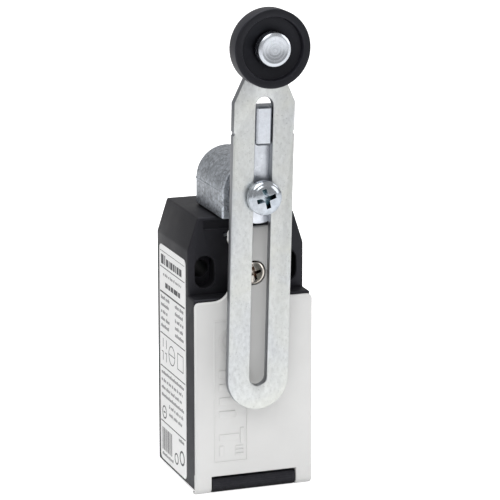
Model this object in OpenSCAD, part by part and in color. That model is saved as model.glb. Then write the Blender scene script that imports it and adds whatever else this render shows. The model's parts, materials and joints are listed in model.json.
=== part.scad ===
// Limit switch with an adjustable roller lever, in millimetres.
// X runs across the width, Y from front (-) to back (+), Z up.
// The origin is the centre of the cable entry's mouth, on the bottom face.

/* [Housing] */
// Width of the moulded housing
body_w = 29.6; // [29:0.1:30]
// Depth of the switch from the mounting face to the cover's front
body_d = 30; // [30:0.5:32]
// Height of the housing up to the head
body_h = 67.1; // [66.5:0.1:69]
// Height at which the top corners start to slope in
slope_z = 59; // [58:0.5:62]
// How far each top corner slopes in
slope_in = 2.6; // [1:0.2:3]
// Height of the step where the front face falls back beside the tongue
step_z = 48; // [47.8:0.1:48.6]
// Distance between the two fixing holes
fixing_pitch = 21; // [20:0.5:22]
// Height of the fixing holes
fixing_z = 53.6; // [53:0.2:55]
// Radius of each fixing hole
fixing_r = 2.15; // [2.1:0.05:2.3]
// Wall radius of the cable entry
entry_r = 9.25; // [8:0.05:9.3]
// Thickness of the floor that the cable entry is cut in
floor_t = 7; // [6:0.5:8]

/* [Cover] */
// Width of the cover
cover_w = 30; // [29.8:0.1:30.4]
// Height of the cover's shoulders
shoulder_z = 47.5; // [46.5:0.1:47.6]
// Height of the top of the tongue
tongue_z = 65.3; // [64:0.1:65.5]
// Width of the tongue
tongue_w = 12.2; // [11.8:0.1:12.6]
// Radius of the flare from each shoulder into the tongue
flare_r = 4.1; // [3:0.1:4.6]
// Height of the cover screw
cover_screw_z = 53.9; // [52:0.1:56]
// Width of the hinge barrel's gap between the cover's ears
hinge_gap_w = 21.8; // [20:0.2:22]

/* [Head] */
// Half width of the head, and the radius of its domed top
head_r = 7.74; // [7.5:0.02:8]
// Height of the lever shaft's axis
shaft_z = 73.85; // [73.6:0.05:74.5]
// Radius of the lever shaft
shaft_r = 3; // [2.8:0.05:3]
// Radius of the cam's round flank
cam_r = 4.4; // [4.2:0.1:4.6]
// Distance from the shaft's axis to the flat of the cam
cam_flat = 3.5; // [3.4:0.05:3.8]

/* [Lever] */
// Width of the lever plate
lever_w = 15.27; // [14.8:0.05:15.6]
// Thickness of the lever plate
lever_t = 2.2; // [2:0.1:2.3]
// Tilt of the lever away from upright, in degrees
lever_tilt = 1.43; // [0:0.01:3]
// Width of the slot
slot_w = 4.39; // [4.3:0.01:4.6]
// Distance from the shaft's axis up to the slot's top end
slot_up = 23.82; // [23.4:0.02:24.4]
// Distance from the shaft's axis down to the slot's bottom end
slot_down = 46.32; // [40:0.02:47]
// Distance from the shaft's axis down to the lever's lower tip
lever_down = 52.22; // [51:0.02:53]
// Distance from the shaft's axis up to where the edges taper
taper_up = 22.47; // [22:0.01:23]

/* [Roller] */
// Radius of the roller
roller_r = 9.34; // [8.6:0.02:9.6]
// Width of the roller
roller_t = 4.4; // [4:0.1:4.8]
// Distance from the shaft's axis to the roller's axis
roller_up = 35.81; // [35.4:0.01:36.4]
// Radius of the pin's front head
pin_head_r = 4.06; // [3.8:0.02:4.4]

/* [Contacts] */
// Working travel of the plunger
travel = 2; // [1.5:0.1:2]
// Half width of the contact block
block_half = 8.8; // [8.8:0.05:8.85]

/* [Hidden] */

$fn = 96;
cut = 1; // overshoot of a cutting shape
gap = 0.1; // clearance between the cover and the housing
run = 0.05; // radial running clearance

// housing
back_y = body_d / 2;
front_y = -body_d / 2;
lip_t = 1.1; // the cover's lip over the housing's walls
wall_front_y = front_y + lip_t + gap;
upper_front_y = front_y + 5.9;
chamber_half = 11.6;
chamber_top_z = 45.4;
chamber_back_y = back_y - 2.2;
rebate_half = 12.8;
rebate_d = 1.3;
rebate_low_z = 5.6;
rebate_top_z = 46.6;
plunger_y = 0.8;
well_r = 4.6;
well_floor_z = step_z;
recess_w = 5;
recess_l = 8;
recess_d = 4;
band_w = 21.6; // shallow band under the head
band_h = 2.2;
band_d = 0.4;
band_top_z = body_h - 0.8;
thread_bite = 0.4; // how far a screw's tip runs into a wall

// hinge at the bottom of the cover
hinge_y = front_y + 2.15;
hinge_z = 1.35;
barrel_r = 2.1;
barrel_clear = 0.2;
ear_back_y = front_y + 4.3;
ear_top_z = 3.65;
ear_low_z = -0.8;
ear_round = 2.1;
ear_half = 13.8; // outer face of the ears, inside the side walls
ear_under = 0.2; // the ears' outer parts pass this far below the side walls
ear_clear = 0.3;
hinge_pin_r = 0.75;
hinge_pin_half = 13.5;

// tongue and its screw
tongue_back_y = upper_front_y - gap;
tongue_wall = 1.2;
tongue_rib_half = 3.2; // half width of the hollow rib behind the tongue
tongue_ear_r = 1.35;
tongue_ear_in = 0.9; // how far each ear's centre sits inside the tongue's edge
tongue_low_z = step_z + gap;
tongue_top_z = tongue_z - tongue_ear_r;
screw_boss_r = 3.9;
screw_seat_d = 1.2;
cover_screw_head_r = 2.75;
cover_screw_proud = 0.3;
cover_screw_r = 1.45;
cover_cross_half = 1.7;
cover_cross_w = 0.7;
cross_turn = -16; // angle at which the cross recesses stand
cross_d = 1; // depth of the cover screw's recess
cover_screw_tip_y = upper_front_y + 3.5;
insert_r = 1.9; // wide enough for the captive screw to tilt out with the cover
insert_d = 3.9;

// corners of the cover, and the locating frame on its inner face
cover_corner_r = 1.2;
foot_h = 3; // the cover's square lower end, above the ears
frame_half = 11.4;
frame_low_z = floor_t;
frame_top_z = 45.2;
frame_t = 1;
frame_d = 2;

// gasket between the cover and the housing
gasket_front_y = front_y + lip_t;
gasket_t = 1.2;
gasket_w = 1.2;
gasket_half = 11.5;

// head
seal_t = 0.25;
seal_inset = 0.6;
head_low_z = body_h + seal_t;
head_front_y = -14.1;
head_back_y = 5.6;
head_cavity_r = 5.9;
head_cavity_back_y = 3.6;
spigot_r = 4.5;
spigot_low_z = 60.6;
groove_low_z = 61.9;
groove_h = 1;
groove_r = 3.6;
clip_t = 0.8;
clip_half = 5.6;
clip_back_y = 5;
bush_front_y = -12.6;
bush_back_y = -8;
rear_journal_r = 2;
rear_journal_y = 5;
ring_r = 0.8; // half thickness of the shaft's ring seal
shaft_front_y = -16.55;

// cam and its keeper
cam_front_y = -1.2;
cam_back_y = 2.9;
circlip_t = 0.5;
circlip_r = 3.5;
circlip_gap = 1.6;

// torsion spring
coil_r = 4.2;
coil_wire_r = 0.4;
coil_turns = 4.5;

// hub, lever and clamp screw, from back to front
hub_back_y = head_front_y - 0.3;
hub_boss_r = 5;
hub_plate_back_y = -16.6;
hub_front_y = -18.7;
hub_half = 5.6;
hub_round_down = 1.5;
hub_up = 21.6;
key_w = 3.9; // the hub's key that stands in the lever's slot
key_low = 12.2;
lever_back_y = hub_front_y - 0.1;
lever_front_y = lever_back_y - lever_t;
key_front_y = lever_front_y - 0.1;
taper_angle = 24.7;
neck_half = 4.5; // half width of the neck behind the roller, and its end radius
notch_r = 0.6;
notch_up = 15.2;
washer_t = 0.5;
washer_r = 4;
washer_back_y = lever_front_y - run;
clamp_r = 1.95;
clamp_head_r = 4.15;
clamp_head_h = 2.5;
clamp_edge_h = 1.2;
clamp_cross_half = 2.3;
clamp_cross_w = 0.9;
clamp_cross_d = 1.4;
clamp_tip_y = -8;

// roller and its pin
roller_back_y = lever_front_y - 0.3;
roller_front_y = roller_back_y - roller_t;
roller_rim_r = 7.3;
roller_recess_d = 1.5;
pin_r = 2.5;
pin_neck_r = 2;
pin_face_y = roller_front_y - 1.37;
pin_rear_r = 3.2;
pin_rear_t = 1.4;
roller_washer_t = 0.25;
roller_washer_r = 4.5;

// plunger
plunger_r = 2;
plunger_top_z = shaft_z - cam_r - 0.1;
collar_r = 3.4;
collar_t = 1;
collar_top_z = spigot_low_z - 0.1;
lift_coil_r = 2.5; // the spring that lifts the plunger
lift_wire_r = 0.35;
lift_turns = 7;
stem_r = 1.5;
stem_low_z = chamber_top_z + 1.1;

// contact block
block_low_z = 19;
block_top_z = 45.2;
block_back_y = chamber_back_y - 0.1;
block_split_y = -2.7;
lid_front_y = -6;
cavity_half = 7.9;
cavity_back_y = 4.3;
cavity_low_z = 21;
cavity_top_z = 43.2;
ear_x = 10.1;
ear_z = 32;
block_ear_half = 11.4;
block_ear_h = 5;
block_ear_front_y = 6;
block_ear_back_y = 9;
block_screw_r = 0.8;
block_screw_head_r = 1.25;
block_screw_head_h = 1.2;
barrier_half = 0.9;
barrier_front_y = -9.6;

// fixed contacts: each row has a screw height and the height of its contact limb
terminal_x = 5.8;
terminal_half = 2.9;
terminal_t = 0.8;
nc_screw_z = 41;
nc_limb_z = 37.5;
no_screw_z = 23.3;
no_limb_z = 26;
limb_half = 1.5;
limb_x = 6.1;
limb_back_y = 2.3;
contact_r = 1;
contact_h = 0.4;
tip_bite = 0.1;
terminal_screw_r = 1.4;
terminal_head_r = 2.6;
terminal_head_h = 2;
terminal_screw_l = 2.6;
terminal_cross_half = 1.6;
terminal_cross_w = 0.8;
clamp_plate_w = 5.4;

// moving contacts
bridge_half = 7.3;
bridge_w = 3;
bridge_t = 0.6;
bridge_wire_r = 0.2;
nc_bridge_z = nc_limb_z - contact_h - contact_h - bridge_t - run;
no_bridge_z = no_limb_z + terminal_t + contact_h + travel + gap + contact_h;
carrier_half = 2.3;
carrier_d = 4.8;
carrier_low_z = 24.5;
carrier_top_z = 43;
bar_low_z = 32.6;
bar_top_z = 33.6;

// label on the side face
label_t = 0.15;
label_low_z = 1;
label_top_z = 56.4;
label_front_y = -7.5;
label_back_y = 12.7;
label_corner_r = 1.4;

// Box from its low corner to its high corner.
module span(low, high) {
    translate(low) cube(high - low);
}

// Cylinder along Y from one depth to another, centred on x and z.
module along_y(r, y0, y1, x = 0, z = 0) {
    translate([x, y1, z]) rotate([90, 0, 0]) cylinder(r = r, h = y1 - y0);
}

// Cylinder along X, centred on y and z.
module along_x(r, x0, x1, y = 0, z = 0) {
    translate([x0, y, z]) rotate([0, 90, 0]) cylinder(r = r, h = x1 - x0);
}

// A flat shape drawn in X and Z, thickened along Y.
module plate(y0, y1) {
    translate([0, y1, 0]) rotate([90, 0, 0]) linear_extrude(height = y1 - y0) children();
}

// Rectangle with round corners, from its low corner to its high corner.
module round_rect(low, high, r) {
    translate([low.x + r, low.y]) square([high.x - low.x - 2 * r, high.y - low.y]);
    translate([low.x, low.y + r]) square([high.x - low.x, high.y - low.y - 2 * r]);
    for (x = [low.x + r, high.x - r], y = [low.y + r, high.y - r]) translate([x, y]) circle(r);
}

// Slot with round ends, from end centre to end centre.
module slot(r, z0, z1) {
    translate([-r, z0]) square([2 * r, z1 - z0]);
    for (z = [z0, z1]) translate([0, z]) circle(r);
}

module mirror_x() {
    children();
    mirror([1, 0, 0]) children();
}

// Round wire wound on a helix about Z.
module coil(mean_r, wire_r, height, turns, per_turn = 12, sides = 6) {
    steps = ceil(turns * per_turn);
    rise = height - 2 * wire_r;
    points = [for (i = [0:steps], k = [0:sides - 1])
        let (a = 360 * turns * i / steps, t = 360 * k / sides, r = mean_r + wire_r * cos(t))
        [r * cos(a), r * sin(a), wire_r + rise * i / steps + wire_r * sin(t)]];
    walls = [for (i = [0:steps - 1], k = [0:sides - 1])
        [i * sides + k, (i + 1) * sides + k, (i + 1) * sides + (k + 1) % sides, i * sides + (k + 1) % sides]];
    first = [for (k = [0:sides - 1]) k];
    last = [for (k = [sides - 1:-1:0]) steps * sides + k];
    polyhedron(points = points, faces = concat(walls, [first, last]));
}

// Places its children in the lever's own frame: Z along the lever, origin on the shaft's axis.
module on_lever() {
    translate([0, 0, shaft_z]) rotate([0, lever_tilt, 0]) children();
}

// Cross recess for a screwdriver, sunk from depth y0 to y1.
module cross_recess(size, width, y0, y1, turn = 0) {
    for (a = [0, 90]) rotate([0, a + turn, 0]) span([-size, y0, -width / 2], [size, y1, width / 2]);
}

module housing_outline() {
    polygon([[-body_w / 2, step_z - cut], [body_w / 2, step_z - cut], [body_w / 2, slope_z],
        [body_w / 2 - slope_in, body_h], [-body_w / 2 + slope_in, body_h], [-body_w / 2, slope_z]]);
}

module housing_solid() {
    span([-body_w / 2, wall_front_y, 0], [body_w / 2, back_y, step_z]);
    plate(upper_front_y, back_y) housing_outline();
}

// The wiring chamber, open to the front, with bosses left for the contact block's screws.
module wiring_chamber() {
    difference() {
        span([-chamber_half, wall_front_y - cut, floor_t], [chamber_half, chamber_back_y, chamber_top_z]);
        mirror_x() span([block_half + gap, block_ear_back_y, ear_z - block_ear_h / 2],
            [chamber_half + cut, back_y, ear_z + block_ear_h / 2]);
    }
    span([-rebate_half, wall_front_y - cut, rebate_low_z],
        [rebate_half, wall_front_y + rebate_d, rebate_top_z]);
}

module fixing_hole() {
    along_y(fixing_r, upper_front_y - cut, back_y + cut, fixing_pitch / 2, fixing_z);
    translate([fixing_pitch / 2, 0, fixing_z]) plate(upper_front_y - cut, upper_front_y + recess_d)
        slot(recess_w / 2, -(recess_l - recess_w) / 2, (recess_l - recess_w) / 2);
}

// The well that holds the head's spigot, the plunger and its spring, with the clip's slot.
module head_well() {
    translate([0, plunger_y, well_floor_z]) cylinder(r = well_r, h = body_h);
    translate([0, plunger_y, chamber_top_z - cut]) cylinder(r = stem_r + run, h = body_h);
    span([-clip_half - gap, upper_front_y - cut, groove_low_z - gap],
        [clip_half + gap, clip_back_y + gap, groove_low_z + groove_h + gap]);
    span([-band_w / 2, upper_front_y - cut, band_top_z - band_h],
        [band_w / 2, upper_front_y + band_d, band_top_z]);
}

// Pocket in the housing's lower front edge for the cover's ears.
module hinge_cut() {
    span([-body_w, wall_front_y - cut, -cut],
        [body_w, wall_front_y + ear_clear, ear_top_z + 2 * ear_clear]);
    span([-ear_half - gap, wall_front_y, -cut],
        [ear_half + gap, ear_back_y + ear_clear, ear_top_z + 2 * ear_clear]);
}

// Hinge barrel across the pocket, bored for the pin.
module hinge_barrel() {
    barrel_half = hinge_gap_w / 2 - barrel_clear;
    difference() {
        union() {
            along_x(barrel_r, -barrel_half, barrel_half, hinge_y, hinge_z);
            span([-barrel_half, hinge_y, 0],
                [barrel_half, ear_back_y + 2 * ear_clear, hinge_z + barrel_r]);
        }
        along_x(hinge_pin_r, -body_w, body_w, hinge_y, hinge_z);
    }
}

module housing() {
    color([0.17, 0.17, 0.19]) union() {
        housing_shell();
        hinge_barrel();
    }
}

module housing_shell() {
    difference() {
        housing_solid();
        wiring_chamber();
        head_well();
        mirror_x() fixing_hole();
        mirror_x() along_y(block_screw_r + run, block_ear_back_y - cut,
            chamber_back_y + thread_bite + 2 * gap, ear_x, ear_z);
        along_y(insert_r, upper_front_y - cut, upper_front_y + insert_d, 0, cover_screw_z);
        translate([0, 0, -cut]) cylinder(r = entry_r, h = floor_t + 2 * cut);
        hinge_cut();
    }
}

// The cover's outline: shoulders, flares and tongue, with a small ear each side of the tongue's top.
module cover_outline() {
    half = tongue_w / 2;
    round_rect([-cover_w / 2, ear_top_z], [cover_w / 2, shoulder_z], cover_corner_r);
    translate([-cover_w / 2, ear_top_z]) square([cover_w, foot_h]);
    difference() {
        translate([-half - flare_r, shoulder_z - cut]) square([2 * half + 2 * flare_r, flare_r + cut]);
        for (side = [-1, 1]) translate([side * (half + flare_r), shoulder_z + flare_r]) circle(flare_r);
    }
    translate([-half, shoulder_z]) square([2 * half, tongue_top_z - shoulder_z]);
    translate([-half + tongue_ear_r, shoulder_z])
        square([2 * (half - tongue_ear_r), tongue_z - shoulder_z]);
    for (side = [-1, 1]) translate([side * (half - tongue_ear_in), tongue_top_z]) circle(tongue_ear_r);
}

// One of the two ears that turn on the hinge pin.
module cover_ear() {
    difference() {
        union() {
            span([hinge_gap_w / 2, front_y, ear_low_z + ear_round],
                [cover_w / 2, ear_back_y, ear_top_z + 2 * gap]);
            span([hinge_gap_w / 2, front_y + ear_round, ear_low_z], [cover_w / 2, ear_back_y, ear_top_z]);
            along_x(ear_round, hinge_gap_w / 2, cover_w / 2, front_y + ear_round, ear_low_z + ear_round);
        }
        span([ear_half, front_y + lip_t, ear_low_z - cut], [cover_w, ear_back_y + cut, ear_top_z + 1]);
        along_x(hinge_pin_r + run, 0, hinge_pin_half + gap, hinge_y, hinge_z);
    }
}

module cover() {
    color([0.88, 0.88, 0.87]) difference() {
        union() {
            plate(front_y, front_y + lip_t) cover_outline();
            mirror_x() cover_ear();
            difference() {
                span([-tongue_rib_half, front_y, tongue_low_z],
                    [tongue_rib_half, tongue_back_y, tongue_top_z]);
                span([-tongue_rib_half + tongue_wall, front_y + lip_t, tongue_low_z + tongue_wall],
                    [tongue_rib_half - tongue_wall, tongue_back_y + cut, tongue_top_z - tongue_wall]);
            }
            along_y(screw_boss_r, front_y, tongue_back_y, 0, cover_screw_z);
            difference() {
                span([-frame_half, front_y + lip_t / 2, frame_low_z],
                    [frame_half, front_y + frame_d, frame_top_z]);
                span([-frame_half + frame_t, front_y, frame_low_z + frame_t],
                    [frame_half - frame_t, front_y + 2 * frame_d, frame_top_z - frame_t]);
            }
        }
        along_y(cover_screw_r + run, front_y - cut, tongue_back_y + cut, 0, cover_screw_z);
        along_y(cover_screw_head_r + gap, front_y - cut, front_y + screw_seat_d, 0, cover_screw_z);
    }
}

module cover_gasket() {
    low_z = rebate_low_z + gap;
    top_z = rebate_top_z - gap;
    color([0.12, 0.12, 0.12]) difference() {
        span([-rebate_half + gap, gasket_front_y, low_z],
            [rebate_half - gap, gasket_front_y + gasket_t, top_z]);
        span([-gasket_half, gasket_front_y - cut, low_z + gasket_w],
            [gasket_half, gasket_front_y + gasket_t + cut, top_z - gasket_w]);
    }
}

module cover_screw() {
    head_front = front_y - cover_screw_proud;
    color([0.72, 0.68, 0.6]) difference() {
        union() {
            along_y(cover_screw_head_r, head_front, front_y + screw_seat_d, 0, cover_screw_z);
            along_y(cover_screw_r, front_y, cover_screw_tip_y, 0, cover_screw_z);
        }
        translate([0, 0, cover_screw_z])
            cross_recess(cover_cross_half, cover_cross_w, head_front - cut, head_front + cross_d, cross_turn);
    }
}

module hinge_pin() {
    color([0.75, 0.76, 0.78]) along_x(hinge_pin_r, -hinge_pin_half, hinge_pin_half, hinge_y, hinge_z);
}

module rating_label() {
    color([0.95, 0.95, 0.95]) translate([-body_w / 2 - label_t, 0, 0]) rotate([90, 0, 90])
        linear_extrude(height = label_t)
            round_rect([label_front_y, label_low_z], [label_back_y, label_top_z], label_corner_r);
}

module head_outline() {
    translate([-head_r, head_low_z]) square([2 * head_r, shaft_z - head_low_z]);
    intersection() {
        translate([0, shaft_z]) circle(head_r);
        translate([-head_r, shaft_z]) square([2 * head_r, head_r]);
    }
}

module head_casting() {
    color([0.6, 0.62, 0.66]) difference() {
        union() {
            plate(head_front_y, head_back_y) head_outline();
            translate([0, plunger_y, spigot_low_z])
                cylinder(r = spigot_r, h = head_low_z - spigot_low_z + cut);
        }
        along_y(head_cavity_r, head_front_y - cut, head_cavity_back_y, 0, shaft_z);
        along_y(rear_journal_r + run, 0, rear_journal_y + gap, 0, shaft_z);
        translate([0, plunger_y, spigot_low_z - cut])
            cylinder(r = plunger_r + run, h = shaft_z - spigot_low_z);
        difference() {
            translate([0, plunger_y, groove_low_z]) cylinder(r = spigot_r + cut, h = groove_h);
            translate([0, plunger_y, groove_low_z - cut]) cylinder(r = groove_r, h = groove_h + 2 * cut);
        }
    }
}

module head_seal() {
    color([0.1, 0.1, 0.1]) difference() {
        span([-head_r + seal_inset, upper_front_y + seal_inset, body_h],
            [head_r - seal_inset, head_back_y - seal_inset, head_low_z]);
        translate([0, plunger_y, body_h - cut]) cylinder(r = well_r, h = seal_t + 2 * cut);
    }
}

module head_clip() {
    slot_r = groove_r + gap;
    low_z = groove_low_z + gap;
    color([0.76, 0.77, 0.8]) difference() {
        span([-clip_half, upper_front_y + gap, low_z], [clip_half, clip_back_y, low_z + clip_t]);
        translate([0, plunger_y, low_z - cut]) cylinder(r = slot_r, h = clip_t + 2 * cut);
        span([-slot_r, plunger_y, low_z - cut], [slot_r, clip_back_y + cut, low_z + clip_t + cut]);
    }
}

module shaft_bush() {
    color([0.2, 0.19, 0.18]) difference() {
        along_y(head_cavity_r, bush_front_y, bush_back_y, 0, shaft_z);
        along_y(shaft_r + run, bush_front_y - cut, bush_back_y + cut, 0, shaft_z);
    }
}

module shaft_seal() {
    color([0.1, 0.1, 0.1]) translate([0, bush_back_y + ring_r + 2 * run, shaft_z]) rotate([90, 0, 0])
        rotate_extrude() translate([shaft_r + ring_r + run, 0]) circle(ring_r);
}

module lever_shaft() {
    color([0.74, 0.75, 0.78]) difference() {
        union() {
            along_y(shaft_r, shaft_front_y, cam_back_y + 0.1, 0, shaft_z);
            along_y(rear_journal_r, 0, rear_journal_y, 0, shaft_z);
        }
        along_y(clamp_r + run, shaft_front_y - cut, clamp_tip_y + 1, 0, shaft_z);
    }
}

module cam() {
    color([0.62, 0.6, 0.55]) difference() {
        along_y(cam_r, cam_front_y, cam_back_y, 0, shaft_z);
        along_y(shaft_r, cam_front_y - cut, cam_back_y + cut, 0, shaft_z);
        span([-cam_r, cam_front_y - cut, shaft_z - 2 * cam_r], [cam_r, cam_back_y + cut, shaft_z - cam_flat]);
    }
}

module cam_circlip() {
    color([0.55, 0.56, 0.6]) difference() {
        along_y(circlip_r, cam_back_y + gap, cam_back_y + gap + circlip_t, 0, shaft_z);
        along_y(rear_journal_r, 0, head_back_y, 0, shaft_z);
        span([-circlip_gap / 2, 0, shaft_z], [circlip_gap / 2, head_back_y, shaft_z + cam_r]);
    }
}

// Torsion spring round the shaft, between the seal and the cam.
module return_spring() {
    back = cam_front_y - 2 * gap;
    room = back - (bush_back_y + 2 * ring_r + 2 * gap);
    color([0.62, 0.64, 0.68]) translate([0, back, shaft_z]) rotate([90, 0, 0])
        coil(mean_r = coil_r, wire_r = coil_wire_r, height = room, turns = coil_turns, per_turn = 14);
}

module lever_hub() {
    color([0.78, 0.79, 0.82]) on_lever() difference() {
        union() {
            plate(hub_front_y, hub_plate_back_y) {
                translate([0, -hub_round_down]) circle(hub_half);
                translate([-hub_half, -hub_round_down]) square([2 * hub_half, hub_up + hub_round_down]);
            }
            along_y(hub_boss_r, hub_plate_back_y - cut, hub_back_y);
            span([-key_w / 2, key_front_y, key_low], [key_w / 2, hub_front_y + cut, hub_up]);
        }
        along_y(clamp_r + 2 * gap, hub_front_y - cut, hub_back_y + cut);
        along_y(shaft_r + run, hub_plate_back_y, hub_back_y + cut);
    }
}

module lever_outline() {
    half = lever_w / 2;
    neck_z = taper_up + (half - neck_half) / tan(taper_angle);
    difference() {
        union() {
            translate([0, -lever_down + half]) circle(half);
            translate([-half, -lever_down + half]) square([lever_w, lever_down - half + taper_up]);
            polygon([[-half, taper_up - cut], [half, taper_up - cut], [half, taper_up], [neck_half, neck_z],
                [neck_half, roller_up], [-neck_half, roller_up], [-neck_half, neck_z], [-half, taper_up]]);
            translate([0, roller_up]) circle(neck_half);
        }
        slot(slot_w / 2, -slot_down + slot_w / 2, slot_up - slot_w / 2);
        translate([0, roller_up]) circle(pin_neck_r);
        for (side = [-1, 1]) translate([side * (half + notch_r / 2), notch_up]) circle(notch_r);
    }
}

module lever_plate() {
    color([0.8, 0.8, 0.8]) on_lever() plate(lever_front_y, lever_back_y) lever_outline();
}

module lock_washer() {
    color([0.7, 0.72, 0.75]) on_lever() difference() {
        along_y(washer_r, washer_back_y - washer_t, washer_back_y);
        along_y(clamp_r + gap, washer_back_y - washer_t - cut, washer_back_y + cut);
    }
}

// Pan head with a cross recess, drawn round the shaft's axis.
module clamp_screw() {
    seat_y = washer_back_y - washer_t;
    face_y = seat_y - clamp_head_h;
    crown_h = clamp_head_h - clamp_edge_h;
    dome_r = (pow(crown_h, 2) + pow(clamp_head_r, 2)) / (2 * crown_h);
    color([0.78, 0.8, 0.84]) on_lever() difference() {
        union() {
            intersection() {
                along_y(clamp_head_r, face_y, seat_y);
                translate([0, face_y + dome_r, 0]) sphere(dome_r);
            }
            along_y(clamp_r, seat_y - cut, clamp_tip_y);
        }
        cross_recess(clamp_cross_half, clamp_cross_w, face_y - cut, face_y + clamp_cross_d, cross_turn);
    }
}

module roller() {
    color([0.13, 0.13, 0.14]) on_lever() translate([0, 0, roller_up]) difference() {
        along_y(roller_r, roller_front_y, roller_back_y);
        along_y(roller_rim_r, roller_front_y - cut, roller_front_y + roller_recess_d);
        along_y(pin_r + run, roller_front_y - cut, roller_back_y + cut);
    }
}

// Stepped rivet: front head, journal for the roller, neck through the lever, and the rear head.
module roller_pin() {
    color([0.8, 0.81, 0.84]) on_lever() translate([0, 0, roller_up]) union() {
        along_y(pin_head_r, pin_face_y, roller_front_y + roller_recess_d - 2 * gap);
        along_y(pin_r, pin_face_y + gap, lever_front_y);
        along_y(pin_neck_r, lever_front_y - cut, lever_back_y + cut);
        along_y(pin_rear_r, lever_back_y, lever_back_y + pin_rear_t);
    }
}

module roller_washer() {
    color([0.7, 0.72, 0.75]) on_lever() translate([0, 0, roller_up]) difference() {
        along_y(roller_washer_r, lever_front_y - roller_washer_t, lever_front_y);
        along_y(pin_r, lever_front_y - cut, lever_front_y + cut);
    }
}

module plunger() {
    color([0.85, 0.85, 0.83]) translate([0, plunger_y, 0]) union() {
        translate([0, 0, stem_low_z]) cylinder(r = stem_r, h = collar_top_z - stem_low_z);
        translate([0, 0, collar_top_z - collar_t]) cylinder(r = collar_r, h = collar_t);
        translate([0, 0, collar_top_z - collar_t])
            cylinder(r = plunger_r, h = plunger_top_z - collar_top_z + collar_t);
    }
}

module plunger_spring() {
    length = collar_top_z - collar_t - well_floor_z;
    color([0.7, 0.72, 0.75]) translate([0, plunger_y, well_floor_z])
        coil(mean_r = lift_coil_r, wire_r = lift_wire_r, height = length, turns = lift_turns);
}

module contact_block() {
    color([0.3, 0.31, 0.3]) difference() {
        union() {
            span([-block_half, block_split_y, block_low_z], [block_half, block_back_y, block_top_z]);
            mirror_x() span([block_half - cut, block_ear_front_y, ear_z - block_ear_h / 2],
                [block_ear_half, block_ear_back_y, ear_z + block_ear_h / 2]);
        }
        span([-cavity_half, block_split_y - cut, cavity_low_z], [cavity_half, cavity_back_y, cavity_top_z]);
        translate([0, plunger_y, cavity_top_z - cut])
            cylinder(r = stem_r + run, h = block_top_z - cavity_top_z + 2 * cut);
        mirror_x() along_y(block_screw_r + gap, block_ear_front_y - cut, block_ear_back_y + cut,
            ear_x, ear_z);
    }
}

// Front half of the contact block, with windows for the limbs of the fixed contacts.
module contact_block_lid() {
    lid_back_y = block_split_y - gap;
    color([0.26, 0.27, 0.27]) difference() {
        union() {
            span([-block_half, lid_front_y, block_low_z], [block_half, lid_back_y, block_top_z]);
            span([-barrier_half, barrier_front_y, block_low_z], [barrier_half, lid_back_y, block_top_z]);
        }
        for (side = [-1, 1], z = [nc_screw_z, no_screw_z])
            along_y(terminal_screw_r + 2 * gap, lid_front_y - cut, lid_back_y + cut,
                side * terminal_x, z);
        for (side = [-1, 1], z = [nc_limb_z, no_limb_z])
            span([side * limb_x - limb_half - gap, lid_front_y - cut, z - gap],
                [side * limb_x + limb_half + gap, lid_back_y + cut, z + terminal_t + gap]);
    }
}

module block_screws() {
    color([0.75, 0.76, 0.78]) mirror_x() union() {
        along_y(block_screw_head_r, block_ear_front_y - block_screw_head_h, block_ear_front_y, ear_x, ear_z);
        along_y(block_screw_r, block_ear_front_y - cut, chamber_back_y + thread_bite, ear_x, ear_z);
    }
}

module bridge_window(z0, z1) {
    span([-carrier_half - cut, plunger_y - bridge_w / 2 - gap, z0],
        [carrier_half + cut, plunger_y + bridge_w / 2 + gap, z1]);
}

module contact_carrier() {
    color([0.8, 0.78, 0.7]) difference() {
        union() {
            span([-carrier_half, plunger_y - carrier_d / 2, carrier_low_z],
                [carrier_half, plunger_y + carrier_d / 2, carrier_top_z]);
            translate([0, plunger_y, carrier_top_z - cut])
                cylinder(r = stem_r, h = stem_low_z - gap - carrier_top_z + cut);
        }
        bridge_window(bar_top_z, nc_bridge_z + bridge_t);
        bridge_window(no_bridge_z, bar_low_z);
    }
}

// Round contact on a bridge or a limb, sunk a little into it.
module contact_tip(side, z) {
    translate([side * limb_x, plunger_y, z]) cylinder(r = contact_r, h = contact_h + tip_bite);
}

// Bridge with a contact at each end: tips point up (+1) or down (-1).
module bridge(z, tips) {
    color([0.8, 0.6, 0.35]) union() {
        span([-bridge_half, plunger_y - bridge_w / 2, z],
            [bridge_half, plunger_y + bridge_w / 2, z + bridge_t]);
        for (side = [-1, 1]) contact_tip(side, tips > 0 ? z + bridge_t - tip_bite : z - contact_h);
    }
}

// Small spring between the carrier's middle bar and a bridge.
module bridge_spring(z0, z1) {
    color([0.7, 0.72, 0.75]) translate([0, plunger_y, z0])
        coil(mean_r = 1, wire_r = bridge_wire_r, height = z1 - z0, turns = 3, per_turn = 10, sides = 5);
}

// Fixed contact: a plate under its screw, and a limb that runs back to the contact tip.
module terminal(side, screw_z, limb_z, tips) {
    plate_low = min(screw_z - terminal_half, limb_z);
    plate_top = max(screw_z + terminal_half, limb_z + terminal_t);
    color([0.82, 0.68, 0.38]) difference() {
        union() {
            span([side * terminal_x - terminal_half, lid_front_y - terminal_t, plate_low],
                [side * terminal_x + terminal_half, lid_front_y, plate_top]);
            span([side * limb_x - limb_half, lid_front_y - terminal_t / 2, limb_z],
                [side * limb_x + limb_half, limb_back_y, limb_z + terminal_t]);
            contact_tip(side, tips > 0 ? limb_z + terminal_t - tip_bite : limb_z - contact_h);
        }
        along_y(terminal_screw_r + run, lid_front_y - cut - terminal_t, lid_front_y + cut,
            side * terminal_x, screw_z);
    }
}

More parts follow.
